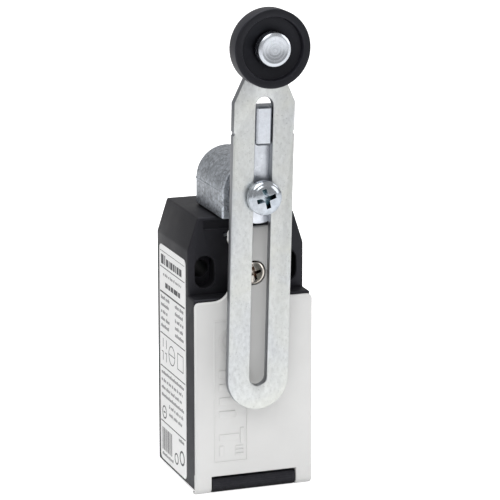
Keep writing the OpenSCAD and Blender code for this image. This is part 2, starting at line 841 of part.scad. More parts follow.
module terminal_screws() {
    seat_y = lid_front_y - 2 * terminal_t - gap;
    for (side = [-1, 1], z = [nc_screw_z, no_screw_z])
        color([0.76, 0.77, 0.8]) translate([side * terminal_x, 0, z]) difference() {
            union() {
                along_y(terminal_head_r, seat_y - terminal_head_h, seat_y);
                along_y(terminal_screw_r, seat_y - cut, lid_front_y + terminal_screw_l);
            }
            cross_recess(terminal_cross_half, terminal_cross_w, seat_y - terminal_head_h - cut,
                seat_y - terminal_head_h / 2, cross_turn);
        }
}

module terminal_clamps() {
    back_of_plate = lid_front_y - terminal_t - gap;
    half = clamp_plate_w / 2;
    for (side = [-1, 1], z = [nc_screw_z, no_screw_z])
        color([0.76, 0.77, 0.8]) translate([side * terminal_x, 0, z]) difference() {
            span([-half, back_of_plate - terminal_t, -half], [half, back_of_plate, half]);
            along_y(terminal_screw_r + gap, back_of_plate - terminal_t - cut, back_of_plate + cut);
        }
}

housing();
cover();
cover_gasket();
cover_screw();
hinge_pin();
rating_label();
head_casting();
head_seal();
head_clip();
shaft_bush();
shaft_seal();
lever_shaft();
cam();
cam_circlip();
return_spring();
lever_hub();
lever_plate();
clamp_screw();
lock_washer();
roller();
roller_pin();
roller_washer();
plunger();
plunger_spring();
contact_block();
contact_block_lid();
block_screws();
contact_carrier();
bridge(nc_bridge_z, 1);  // bridge_nc
bridge(no_bridge_z, -1);  // bridge_no
bridge_spring(bar_top_z, nc_bridge_z);  // spring_nc
bridge_spring(no_bridge_z + bridge_t, bar_low_z);  // spring_no
terminal(-1, nc_screw_z, nc_limb_z, -1);  // terminal_nc_left
terminal(1, nc_screw_z, nc_limb_z, -1);  // terminal_nc_right
terminal(-1, no_screw_z, no_limb_z, 1);  // terminal_no_left
terminal(1, no_screw_z, no_limb_z, 1);  // terminal_no_right
terminal_screws();
terminal_clamps();
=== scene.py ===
"""Builds the finished look of a limit switch with an adjustable roller lever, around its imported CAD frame.

Lengths below are in millimetres and become metres where a piece is made.
X runs across the switch, Y from its front to its back, and Z up.
"""
import json
import math

import bpy
from bpy.props import FloatProperty, FloatVectorProperty, IntProperty, PointerProperty
from mathutils import Matrix, Vector


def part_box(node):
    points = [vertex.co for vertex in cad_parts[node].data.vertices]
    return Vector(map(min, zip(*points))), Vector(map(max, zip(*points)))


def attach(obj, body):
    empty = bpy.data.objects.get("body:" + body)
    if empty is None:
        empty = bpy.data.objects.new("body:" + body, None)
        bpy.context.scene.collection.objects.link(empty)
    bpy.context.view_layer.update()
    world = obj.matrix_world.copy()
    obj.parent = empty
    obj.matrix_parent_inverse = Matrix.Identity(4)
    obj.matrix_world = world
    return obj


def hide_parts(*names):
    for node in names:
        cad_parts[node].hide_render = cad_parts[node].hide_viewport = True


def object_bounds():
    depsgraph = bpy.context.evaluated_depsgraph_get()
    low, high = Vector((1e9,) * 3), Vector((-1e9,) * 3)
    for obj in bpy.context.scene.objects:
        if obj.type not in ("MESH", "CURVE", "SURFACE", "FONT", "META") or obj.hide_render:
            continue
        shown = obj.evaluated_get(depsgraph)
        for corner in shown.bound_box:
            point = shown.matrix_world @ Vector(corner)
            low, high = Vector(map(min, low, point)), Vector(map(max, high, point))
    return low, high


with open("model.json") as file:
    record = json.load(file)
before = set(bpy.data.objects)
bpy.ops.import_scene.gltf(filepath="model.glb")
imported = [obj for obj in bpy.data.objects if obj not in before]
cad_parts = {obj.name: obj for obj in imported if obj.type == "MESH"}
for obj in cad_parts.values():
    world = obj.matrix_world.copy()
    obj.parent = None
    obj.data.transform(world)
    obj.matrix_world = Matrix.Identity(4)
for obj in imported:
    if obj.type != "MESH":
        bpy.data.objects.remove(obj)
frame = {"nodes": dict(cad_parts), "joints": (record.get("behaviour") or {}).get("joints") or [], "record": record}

bl_info = {
    "name": "Limit switch with a roller lever",
    "version": (1, 0, 0),
    "blender": (4, 5, 0),
    "location": "View3D > Sidebar > Limit switch",
    "description": "Models a plastic limit switch with a cast head and a slotted roller lever",
    "category": "Object",
}

MM = 0.001
CAD_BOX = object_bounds()
SIDES = (-1, 1)
ORIGIN = (0, 0, 0)
UPRIGHT = (0, 0, 0)
TO_FRONT = (math.radians(90), 0, 0)
TO_REAR = (math.radians(-90), 0, 0)
TO_RIGHT = (0, math.radians(90), 0)
TO_LEFT = (0, math.radians(-90), 0)
PAST = 1.0  # how far a cutter reaches past the face that it cuts


# ---------------------------------------------------------------- places read from the frame

def low(node):
    """Low corner of a CAD node, in millimetres."""
    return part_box(node)[0] / MM


def high(node):
    """High corner of a CAD node, in millimetres."""
    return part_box(node)[1] / MM


def joint(name):
    return next(j for j in frame["joints"] if j["name"] == name)


def mount(name):
    return next(m for m in frame["record"]["mounts"] if m["name"] == name)


BODY_HIGH = high("housing")
HALF, REAR, BODY_TOP = BODY_HIGH
LID_LOW, LID_HIGH = low("cover"), high("cover")
HEAD_LOW, HEAD_HIGH = low("head_casting"), high("head_casting")
LABEL_LOW, LABEL_HIGH = low("rating_label"), high("rating_label")
PLATE_FRONT, PLATE_BACK = low("lever_plate").y, high("lever_plate").y
SCREW_Z = (low("cover_screw").z + high("cover_screw").z) / 2
PLUNGER_Y = (low("plunger").y + high("plunger").y) / 2
SHAFT_Z = joint("lever_swing")["pos_m"][2] / MM
SLIDE = Vector(joint("lever_slide")["axis"])
TILT = math.atan2(SLIDE.x, SLIDE.z)
ROLLER_CENTRE = Vector(joint("roller_spin")["pos_m"]) / MM
ROLLER_UP = (ROLLER_CENTRE - Vector((0, 0, SHAFT_Z))).length
HINGE_Y, HINGE_Z = (v / MM for v in joint("cover_hinge")["pos_m"][1:])
FIXING_Z = mount("fixing_holes")["pos_m"][2] / MM
FIXING_X = mount("fixing_holes")["dims"]["spacing_x_mm"] / 2
FIXING_R = mount("fixing_holes")["dims"]["hole_r_mm"]
ENTRY_R = mount("cable_entry")["dims"]["r_mm"]


# ---------------------------------------------------------------- sizes and colours a user may change

class SwitchSizes(bpy.types.PropertyGroup):
    """Sizes of the details that the CAD frame leaves plain, in millimetres."""
    edge: FloatProperty(
        name="Moulded edge", description="Radius of the housing's edges", default=0.45, min=0.1)
    lid_edge: FloatProperty(
        name="Cover edge", description="Radius of the cover's edges", default=0.4, min=0.1)
    cast_edge: FloatProperty(
        name="Cast edge", description="Radius of the head's edges", default=0.55, min=0.1)
    sheared_edge: FloatProperty(
        name="Sheared edge", description="Round of the lever's edges", default=0.28, min=0.05)
    relief: FloatProperty(
        name="Relief", description="Height of the cover's raised mark", default=0.18, min=0.05)
    ink: FloatProperty(
        name="Ink", description="Height of the label's print", default=0.02, min=0.01)
    ridges: IntProperty(
        name="Ridges", description="Ridges on the hinge barrel", default=9, min=3, max=14)
    sides: IntProperty(
        name="Sides", description="Sides of a turned piece", default=96, min=32, max=160)


class SwitchColours(bpy.types.PropertyGroup):
    """Base colours of the finishes, linear."""
    moulding: FloatVectorProperty(
        name="Moulding", description="Black housing", subtype="COLOR", default=(0.0075, 0.0075, 0.0088))
    cover: FloatVectorProperty(
        name="Cover", description="Light grey cover", subtype="COLOR", default=(0.64, 0.64, 0.635))
    casting: FloatVectorProperty(
        name="Casting", description="Zinc head", subtype="COLOR", default=(0.62, 0.66, 0.72))
    plating: FloatVectorProperty(
        name="Plating", description="Zinc plating of the lever", subtype="COLOR", default=(0.63, 0.65, 0.665))
    bright: FloatVectorProperty(
        name="Bright steel", description="Screws and the pin", subtype="COLOR", default=(0.62, 0.645, 0.68))
    passivated: FloatVectorProperty(
        name="Passivated steel", description="Cover screw", subtype="COLOR", default=(0.70, 0.68, 0.64))
    roller: FloatVectorProperty(
        name="Roller", description="Black roller", subtype="COLOR", default=(0.003, 0.003, 0.004))
    label: FloatVectorProperty(
        name="Label", description="White film", subtype="COLOR", default=(0.84, 0.84, 0.84))
    ink: FloatVectorProperty(
        name="Ink", description="Print on the label", subtype="COLOR", default=(0.045, 0.045, 0.05))


class SwitchView(bpy.types.PropertyGroup):
    """The camera, as angles and a distance from the point it looks at."""
    azimuth: FloatProperty(
        name="Azimuth", description="Turn round the switch", default=math.radians(-19.66), subtype="ANGLE")
    elevation: FloatProperty(
        name="Elevation", description="Height above level", default=math.radians(13.60), subtype="ANGLE")
    roll: FloatProperty(
        name="Roll", description="Turn about the view", default=math.radians(-0.05), subtype="ANGLE")
    distance: FloatProperty(
        name="Distance", description="From the target", default=0.6519, unit="LENGTH")
    target: FloatVectorProperty(
        name="Target", description="Point looked at", default=(0.00432, 0, 0.05578), subtype="TRANSLATION")
    lens: FloatProperty(
        name="Lens", description="Focal length in millimetres", default=191.5, min=50)


def sizes():
    return bpy.context.scene.switch_sizes


def colours():
    return bpy.context.scene.switch_colours


# ---------------------------------------------------------------- modelling tools

def take(piece):
    """Selects one piece and nothing else."""
    bpy.ops.object.select_all(action="DESELECT")
    piece.select_set(True)
    bpy.context.view_layer.objects.active = piece
    return piece


def made(name):
    """Names the object that an operator has just added, and selects it alone."""
    piece = bpy.context.object
    piece.name = name
    piece.data.name = name
    return take(piece)


def settle(piece):
    """Moves an object's place, turn and scale into its mesh."""
    take(piece)
    bpy.ops.object.transform_apply(location=True, rotation=True, scale=True)
    return piece


def select(piece, kind, test):
    """In edit mode, selects the faces or edges that pass a test, and says how many there are."""
    bpy.ops.mesh.select_mode(type=kind)
    bpy.ops.mesh.select_all(action="DESELECT")
    bpy.ops.object.mode_set(mode="OBJECT")
    count = 0
    for part in {"FACE": piece.data.polygons, "EDGE": piece.data.edges}[kind]:
        part.select = test(part)
        count += part.select
    bpy.ops.object.mode_set(mode="EDIT")
    return count


def ends(piece, edge):
    return [piece.data.vertices[i].co / MM for i in edge.vertices]


def box(name, corner, far_corner):
    """Box between two corners."""
    a, b = Vector(corner) * MM, Vector(far_corner) * MM
    bpy.ops.object.select_all(action="DESELECT")
    bpy.ops.mesh.primitive_cube_add(size=1, location=(a + b) / 2)
    piece = made(name)
    piece.scale = b - a
    return settle(piece)


def soften_sharp(piece, radius, segments=3, angle=40, where=None):
    """Rounds the sharp edges of a piece, or those of them that pass a test."""
    take(piece)
    bpy.ops.object.mode_set(mode="EDIT")
    bpy.ops.mesh.select_mode(type="EDGE")
    bpy.ops.mesh.select_all(action="DESELECT")
    bpy.ops.mesh.edges_select_sharp(sharpness=math.radians(angle))
    if where:
        bpy.ops.object.mode_set(mode="OBJECT")
        for edge in piece.data.edges:
            edge.select = edge.select and where(*ends(piece, edge))
        bpy.ops.object.mode_set(mode="EDIT")
    bpy.ops.mesh.bevel(offset=radius * MM, segments=segments, affect="EDGES", clamp_overlap=False)
    bpy.ops.object.mode_set(mode="OBJECT")
    return piece


def round_corners(piece, radius, segments, where):
    """Rounds the straight edges whose two ends pass a test, as when a plate gets a round end."""
    take(piece)
    bpy.ops.object.mode_set(mode="EDIT")
    if not select(piece, "EDGE", lambda e: where(*ends(piece, e))):
        raise RuntimeError(f"{piece.name} has no such corner")
    bpy.ops.mesh.bevel(offset=radius * MM, segments=segments, affect="EDGES", clamp_overlap=False)
    bpy.ops.mesh.remove_doubles(threshold=0.002 * MM)
    bpy.ops.object.mode_set(mode="OBJECT")
    return piece


def round_end(piece, half, segments, where):
    """Turns a bar's square end, of the given half width, into a half circle seen from the front."""
    nearly = 0.9995  # leaves the two arcs a hair apart, so that they don't cross
    return round_corners(piece, half * nearly, segments, lambda a, b: runs_along_y(a, b) and where(a.z))


def runs_along_y(a, b):
    return abs(a.y - b.y) > 0.05 and abs(a.x - b.x) < 0.01 and abs(a.z - b.z) < 0.01


def runs_along_x(a, b):
    return abs(a.x - b.x) > 0.05


def rounded_box(name, corner, far_corner, radius, segments=3):
    return soften_sharp(box(name, corner, far_corner), radius, segments)


def stadium(name, half, z0, z1, y0, y1):
    """Upright bar with round ends, seen from the front."""
    return round_end(box(name, (-half, y0, z0), (half, y1, z1)), half, 16, lambda z: True)


def turned(name, rings, place, turn=TO_FRONT, sides=None, open_bore=False):
    """Turned piece: rings are (radius, height) pairs, with height counted along the axis."""
    bpy.ops.object.select_all(action="DESELECT")
    radius, height = rings[0]
    bpy.ops.mesh.primitive_circle_add(
        vertices=sides or sizes().sides, radius=radius * MM, location=(0, 0, height * MM),
        fill_type="NOTHING" if open_bore else "NGON")
    piece = settle(made(name))
    bpy.ops.object.mode_set(mode="EDIT")
    bpy.ops.mesh.select_mode(type="EDGE")
    bpy.ops.mesh.select_all(action="SELECT")
    for next_radius, next_height in rings[1:] + (rings[:1] if open_bore else []):
        bpy.ops.mesh.extrude_region_move(
            TRANSFORM_OT_translate={"value": (0, 0, (next_height - height) * MM)})
        k = next_radius / radius
        bpy.ops.transform.resize(value=(k, k, 1), center_override=(0, 0, next_height * MM))
        radius, height = next_radius, next_height
    bpy.ops.mesh.select_all(action="SELECT")
    bpy.ops.mesh.remove_doubles(threshold=0.001 * MM)
    bpy.ops.mesh.normals_make_consistent(inside=False)
    bpy.ops.object.mode_set(mode="OBJECT")
    piece.rotation_euler = turn
    piece.location = Vector(place) * MM
    return settle(piece)


def fillet(radius, height, r, start, stop, steps=5):
    """Rings of a convex quarter round about a centre at (radius, height), from angle start to stop."""
    angles = [math.radians(start + (stop - start) * i / steps) for i in range(steps + 1)]
    return [(radius + r * math.cos(a), height + r * math.sin(a)) for a in angles]


def rod(name, radius, y_front, y_back, x=0, z=0, sides=48):
    """Round bar along Y."""
    return turned(name, [(radius, 0), (radius, y_back - y_front)], (x, y_back, z), sides=sides)


def combine(piece, other, operation):
    """Joins or cuts a piece with another, and uses the second one up."""
    take(piece)
    change = piece.modifiers.new(operation.lower(), "BOOLEAN")
    change.operation = operation
    change.solver = "MANIFOLD"
    change.object = other
    bpy.ops.object.modifier_apply(modifier=change.name)
    bpy.data.objects.remove(other)


def cut(piece, *cutters):
    for cutter in cutters:
        combine(piece, cutter, "DIFFERENCE")
    return piece


def join(piece, *others):
    for other in others:
        combine(piece, other, "UNION")
    return piece


def merge(name, parts):
    """Makes one object of separate closed parts that don't meet."""
    take(parts[0])
    for part in parts[1:]:
        part.select_set(True)
    bpy.ops.object.join()
    return made(name)


def slice_off(piece, point, outward):
    """Cuts away what lies past a plane and closes the cut."""
    take(piece)
    bpy.ops.object.mode_set(mode="EDIT")
    bpy.ops.mesh.select_all(action="SELECT")
    normal = Vector(outward).normalized()
    bpy.ops.mesh.bisect(plane_co=Vector(point) * MM, plane_no=normal, use_fill=True, clear_outer=True)
    bpy.ops.object.mode_set(mode="OBJECT")


def clean(piece):
    """Joins coplanar faces that a cut has split, and closes up doubled points."""
    take(piece)
    bpy.ops.object.mode_set(mode="EDIT")
    bpy.ops.mesh.select_all(action="SELECT")
    bpy.ops.mesh.remove_doubles(threshold=0.002 * MM)
    bpy.ops.mesh.dissolve_limited(angle_limit=math.radians(0.5))
    bpy.ops.object.mode_set(mode="OBJECT")


def placed(piece, place=ORIGIN, turn=UPRIGHT):
    """Moves and turns a piece about the origin, and settles it there."""
    piece.rotation_euler = turn
    piece.location = Vector(place) * MM
    return settle(piece)


def on_lever(piece):
    """Puts a piece that was made about the shaft's axis in its place on the tilted lever."""
    return placed(piece, (0, 0, SHAFT_Z), (0, TILT, 0))


def finish(piece, body, slot, look, *nodes, smooth=32):
    """Shades a piece, gives it its material, ties it to its body and hides the CAD nodes it stands for."""
    take(piece)
    bpy.ops.object.shade_smooth_by_angle(angle=math.radians(smooth))
    piece.data.materials.clear()
    piece.data.materials.append(material(look))
    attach(piece, body)
    if nodes:
        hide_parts(*nodes)


# ---------------------------------------------------------------- shader groups

def node(tree, kind, inputs=None, **settings):
    """Adds a shader node. Inputs map a socket to a value, or to the socket that feeds it."""
    new = tree.nodes.new(kind)
    for key, value in settings.items():
        setattr(new, key, value)
    for key, value in (inputs or {}).items():
        if isinstance(value, bpy.types.NodeSocket):
            tree.links.new(value, new.inputs[key])
        else:
            new.inputs[key].default_value = value
    return new


def math_node(tree, operation, a, b=0.5, clamp=False):
    return node(tree, "ShaderNodeMath", {0: a, 1: b}, operation=operation, use_clamp=clamp).outputs[0]


def times(tree, a, b):
    return math_node(tree, "MULTIPLY", a, b)


def vector_node(tree, operation, a, b):
    return node(tree, "ShaderNodeVectorMath", {0: a, 1: b}, operation=operation).outputs


def object_place(tree):
    return node(tree, "ShaderNodeTexCoord").outputs["Object"]


def spread(tree, value, from_low, from_high, to_low=0.0, to_high=1.0):
    """Stretches the part of a value between two limits over a new range."""
    limits = {"From Min": from_low, "From Max": from_high, "To Min": to_low, "To Max": to_high}
    return node(tree, "ShaderNodeMapRange", {"Value": value, **limits}).outputs["Result"]


def mixed(tree, factor, a, b):
    """Blends two colours. A Mix node's colour sockets share their names, so their places are used."""
    return node(tree, "ShaderNodeMix", {0: factor, 6: a, 7: b}, data_type="RGBA").outputs[2]


def noise(tree, place, scale, detail=3.0, rough=0.55, distortion=0.0):
    inputs = {"Vector": place, "Scale": scale, "Detail": detail, "Roughness": rough, "Distortion": distortion}
    return node(tree, "ShaderNodeTexNoise", inputs).outputs["Fac"]


def group(name, inputs, outputs):
    """Starts a shader group. Inputs map a name to a default, a number or a triple."""
    tree = bpy.data.node_groups.new(name, "ShaderNodeTree")
    for label, default in inputs.items():
        kind = "NodeSocketVector" if isinstance(default, tuple) else "NodeSocketFloat"
        tree.interface.new_socket(label, in_out="INPUT", socket_type=kind).default_value = default
    for label in outputs:
        tree.interface.new_socket(label, in_out="OUTPUT", socket_type="NodeSocketFloat")
    return tree, tree.nodes.new("NodeGroupInput").outputs, tree.nodes.new("NodeGroupOutput")


def give(tree, out, **values):
    """Links a group's results to its outputs."""
    for label, value in values.items():
        tree.links.new(value, out.inputs[label])
    return tree


def grain_group():
    """Fine even grain of a moulded surface, with soft clouds and rare specks over it."""
    inputs = {"Grain Scale": 7000.0, "Cloud Scale": 120.0}
    tree, given, out = group("moulded_grain", inputs, ["Grain", "Clouds", "Specks"])
    place = object_place(tree)
    fine = noise(tree, place, given["Grain Scale"], 2.0)
    clouds = noise(tree, place, given["Cloud Scale"], 4.0)
    spots = node(tree, "ShaderNodeTexVoronoi", {"Vector": place, "Scale": 900.0}).outputs["Distance"]
    rare = noise(tree, place, 300.0, 1.0)
    specks = times(tree, spread(tree, spots, 0.16, 0.06), spread(tree, rare, 0.56, 0.66))
    return give(tree, out, Grain=fine, Clouds=spread(tree, clouds, 0.3, 0.7), Specks=specks)


def edge_highlight_group():
    """Mask of the outer edges, broken up by noise, along which a highlight is painted."""
    tree, given, out = group("edge_wear", {"Radius": 0.0004, "Amount": 1.0}, ["Wear"])
    soft = node(tree, "ShaderNodeBevel", {"Radius": given["Radius"]}, samples=4).outputs["Normal"]
    flat = node(tree, "ShaderNodeNewGeometry").outputs["Normal"]
    edge = spread(tree, vector_node(tree, "DOT_PRODUCT", soft, flat)["Value"], 0.995, 0.85)
    broken = spread(tree, noise(tree, object_place(tree), 900.0, 4.0), 0.35, 0.6)
    return give(tree, out, Wear=times(tree, times(tree, edge, broken), given["Amount"]))


def mottle_group():
    """Crystal-like mottling of a casting or a plating, with pits, a broad tint and dark veins."""
    inputs = {"Scale": 700.0, "Stretch": (1.0, 1.0, 1.0)}
    tree, given, out = group("metal_mottle", inputs, ["Mottle", "Pits", "Tint", "Veins"])
    place = object_place(tree)
    laid = vector_node(tree, "MULTIPLY", place, given["Stretch"])["Vector"]
    blotches = noise(tree, laid, given["Scale"], 5.0, 0.65, 0.4)
    cells = node(tree, "ShaderNodeTexVoronoi", {"Vector": laid, "Scale": given["Scale"]}, feature="SMOOTH_F1")
    both = math_node(tree, "ADD", times(tree, blotches, 0.7), times(tree, cells.outputs["Distance"], 0.3))
    pits = spread(tree, noise(tree, place, 2600.0, 2.0, 0.6), 0.62, 0.74)
    tint = spread(tree, noise(tree, place, 70.0, 2.0, 0.5, 0.8), 0.35, 0.65)
    bent = node(tree, "ShaderNodeTexNoise", {"Vector": place, "Scale": 900.0}).outputs["Color"]
    sway = 1.2 * MM
    moved = vector_node(tree, "ADD", vector_node(tree, "MULTIPLY", bent, (sway, sway, sway))["Vector"], laid)
    walls = node(tree, "ShaderNodeTexVoronoi", {"Vector": moved["Vector"], "Scale": given["Scale"]},
                 feature="DISTANCE_TO_EDGE")
    veins = times(tree, spread(tree, walls.outputs["Distance"], 0.16, 0.0), spread(tree, blotches, 0.42, 0.55))
    return give(tree, out, Mottle=spread(tree, both, 0.3, 0.7), Pits=pits, Tint=tint, Veins=veins)


def scratch_group():
    """Sparse fine scratches that run mostly one way."""
    inputs = {"Stretch": (1.0, 1.0, 0.03), "Scale": 2600.0}
    tree, given, out = group("fine_scratches", inputs, ["Scratches"])
    laid = vector_node(tree, "MULTIPLY", object_place(tree), given["Stretch"])["Vector"]
    return give(tree, out, Scratches=spread(tree, noise(tree, laid, given["Scale"], 2.0, 0.7), 0.6, 0.78))


def rings_group():
    """Rings of a face turned about an axis along Y."""
    tree, given, out = group("turned_rings", {"Centre": (0.0, 0.0, 0.0), "Pitch": 0.0009}, ["Rings"])
    offset = vector_node(tree, "SUBTRACT", object_place(tree), given["Centre"])["Vector"]
    flat = vector_node(tree, "MULTIPLY", offset, (1, 0, 1))["Vector"]
    turns = math_node(tree, "DIVIDE", vector_node(tree, "LENGTH", flat, ORIGIN)["Value"], given["Pitch"])
    wave = math_node(tree, "SINE", times(tree, turns, math.tau))
    return give(tree, out, Rings=spread(tree, wave, -1.0, 1.0))


def side_group():
    """Mask of the faces that look neither forwards nor back: a plate's sheared sides, and a roller's tread, where
    light is painted.
    """
    tree, given, out = group("sheared_sides", {"Start": 0.8, "End": 0.5}, ["Side"])
    normal = node(tree, "ShaderNodeTexCoord").outputs["Normal"]
    forward = math_node(tree, "ABSOLUTE", node(tree, "ShaderNodeSeparateXYZ", {0: normal}).outputs["Y"])
    return give(tree, out, Side=spread(tree, forward, given["Start"], given["End"]))


def crevice_group():
    """Mask of recesses narrower than its reach, used to paint shade and darker colours into them."""
    tree, given, out = group("crevice_dirt", {"Reach": 0.0012}, ["Dirt"])
    open_sky = node(tree, "ShaderNodeAmbientOcclusion", {"Distance": given["Reach"]}, samples=8).outputs["AO"]
    return give(tree, out, Dirt=spread(tree, open_sky, 0.75, 0.35))


GROUP_MAKERS = {
    "moulded_grain": grain_group, "edge_wear": edge_highlight_group, "metal_mottle": mottle_group,
    "fine_scratches": scratch_group, "turned_rings": rings_group, "crevice_dirt": crevice_group,
    "sheared_sides": side_group,
}
GROUPS = {}


def place_group(tree, name, **inputs):
    """Places a shader group, building it the first time, and returns its outputs."""
    if name not in GROUPS:
        GROUPS[name] = GROUP_MAKERS[name]()
    new = tree.nodes.new("ShaderNodeGroup")
    new.node_tree = GROUPS[name]
    for label, value in inputs.items():
        new.inputs[label.replace("_", " ")].default_value = value
    return new.outputs


# ---------------------------------------------------------------- materials

def start_material(name, **constants):
    """Material with its Principled shader, whose constant values are set on its own sockets."""
    new = bpy.data.materials.new(name)
    new.use_nodes = True
    shader = new.node_tree.nodes["Principled BSDF"]
    for label, value in constants.items():
        shader.inputs[label.replace("_", " ")].default_value = value
    return new, new.node_tree, shader


def feed(tree, shader, colour, roughness=None, height=None, bump=0.3, depth=0.02):
    """Links varying values to a shader. Depth is how high the bump's height reaches, in millimetres."""
    tree.links.new(colour, shader.inputs["Base Color"])
    if roughness is not None:
        tree.links.new(roughness, shader.inputs["Roughness"])
    if height is not None:
        raised = node(tree, "ShaderNodeBump", {"Strength": bump, "Distance": depth * MM, "Height": height})
        tree.links.new(raised.outputs["Normal"], shader.inputs["Normal"])


def rgba(colour, k=1.0):
    return (*(min(1.0, c * k) for c in colour), 1.0)


def moulded(name, colour, roughness=0.5, grain=0.6, clouds=0.18, wear=0.5, scale=5200.0, lift=2.2,
            sheen=None, dusk=None, rubbed=None, **constants):
    """Moulded plastic: fine grain, faint clouds and edges lightened by the factor lift, a painted highlight.

    sheen gives the specular level in the open and in a recess, painting shade on the reflection there;
    the next factor paints shade into wide recesses, and the colour after it paints light on open sides.
    """
    speck_share, swing = 0.5, 0.06
    narrow, wide = 4 * MM, 6 * MM
    new, tree, shader = start_material(name, **constants)
    recess = place_group(tree, "crevice_dirt", Reach=narrow)["Dirt"] if sheen or rubbed else None
    # painted shade on the reflection: the specular level drops in recesses
    if sheen:
        tree.links.new(spread(tree, recess, 0.0, 1.0, *sheen), shader.inputs["Specular IOR Level"])
    base = place_group(tree, "moulded_grain", Grain_Scale=scale)
    tone = mixed(tree, base["Clouds"], rgba(colour, 1 - clouds), rgba(colour, 1 + clouds))
    tone = mixed(tree, times(tree, base["Specks"], speck_share), tone, rgba(colour, lift))
    # painted highlight: the edges are lighter
    tone = mixed(tree, place_group(tree, "edge_wear", Amount=wear)["Wear"], tone, rgba(colour, lift))
    # painted light: open sides are lighter, while recesses stay in painted shade
    if rubbed:
        sides = place_group(tree, "sheared_sides")["Side"]
        tone = mixed(tree, math_node(tree, "SUBTRACT", sides, recess, clamp=True), tone, rgba(rubbed))
    # painted shade: wide recesses are darker
    if dusk:
        tone = mixed(tree, place_group(tree, "crevice_dirt", Reach=wide)["Dirt"], tone, rgba(colour, dusk))
    rough = spread(tree, base["Clouds"], 0.0, 1.0, roughness - swing, roughness + swing)
    feed(tree, shader, tone, rough, base["Grain"], bump=grain, depth=0.03)
    return new


def metal(name, colour, roughness=0.3, swing=0.08, scale=700.0, dark=0.82, tint=None, wear=0.6,
          bump=0.2, stretch=(1.0, 1.0, 1.0), pitted=0.4, dirt=None, veined=0.0, sheared=None, **constants):
    """Metal with a mottled finish, small pits, fine scratches and a painted highlight that brightens its edges.

    tint drifts over it in broad patches, its recesses take a darker colour, and sheared is the colour
    of its sides.
    """
    light, pit_tone, vein_tone, edge_highlight_tone = 1.06, 0.45, 0.22, 1.25
    tint_share, scratch_rise = 0.5, 0.042
    constants.setdefault("Metallic", 1.0)
    new, tree, shader = start_material(name, **constants)
    base = place_group(tree, "metal_mottle", Scale=scale, Stretch=stretch)
    tone = mixed(tree, base["Mottle"], rgba(colour, dark), rgba(colour, light))
    if tint:
        tone = mixed(tree, times(tree, base["Tint"], tint_share), tone, rgba(tint))
    pits = times(tree, base["Pits"], pitted)
    tone = mixed(tree, pits, tone, rgba(colour, pit_tone))
    if veined:
        tone = mixed(tree, times(tree, base["Veins"], veined), tone, rgba(colour, vein_tone))
    # painted highlight: the edges are brighter
    tone = mixed(tree, place_group(tree, "edge_wear", Amount=wear)["Wear"], tone, rgba(colour, edge_highlight_tone))
    if sheared:
        tone = mixed(tree, place_group(tree, "sheared_sides")["Side"], tone, rgba(sheared))
    # recesses take a darker colour; on the bright screw it is painted shade, tinted as a chromate deposit
    if dirt:
        tone = mixed(tree, place_group(tree, "crevice_dirt")["Dirt"], tone, rgba(dirt))
    scratches = times(tree, place_group(tree, "fine_scratches")["Scratches"], scratch_rise)
    rough = spread(tree, base["Mottle"], 0.0, 1.0, roughness + swing, roughness - swing)
    rough = math_node(tree, "ADD", rough, scratches, clamp=True)
    feed(tree, shader, tone, rough, math_node(tree, "SUBTRACT", base["Mottle"], pits), bump=bump)
    return new


def turned_metal(name, colour, centre, pitch, roughness=0.2, bump=0.12):
    """Metal faced on a lathe, with rings about an axis along Y."""
    dark, light, mottle_tone, mottle_share, rise = 0.9, 1.04, 0.6, 0.3, 0.18
    new, tree, shader = start_material(name, Metallic=1.0)
    rings = place_group(tree, "turned_rings", Centre=Vector(centre) * MM, Pitch=pitch * MM)["Rings"]
    base = place_group(tree, "metal_mottle", Scale=900.0)
    scratches = place_group(tree, "fine_scratches", Stretch=(1.0, 1.0, 0.1))["Scratches"]
    tone = mixed(tree, rings, rgba(colour, dark), rgba(colour, light))
    tone = mixed(tree, times(tree, base["Mottle"], mottle_share), tone, rgba(colour, mottle_tone))
    rough = spread(tree, math_node(tree, "ADD", rings, scratches), 0.0, 2.0, roughness, roughness + rise)
    feed(tree, shader, tone, rough, rings, bump=bump, depth=0.03)
    return new


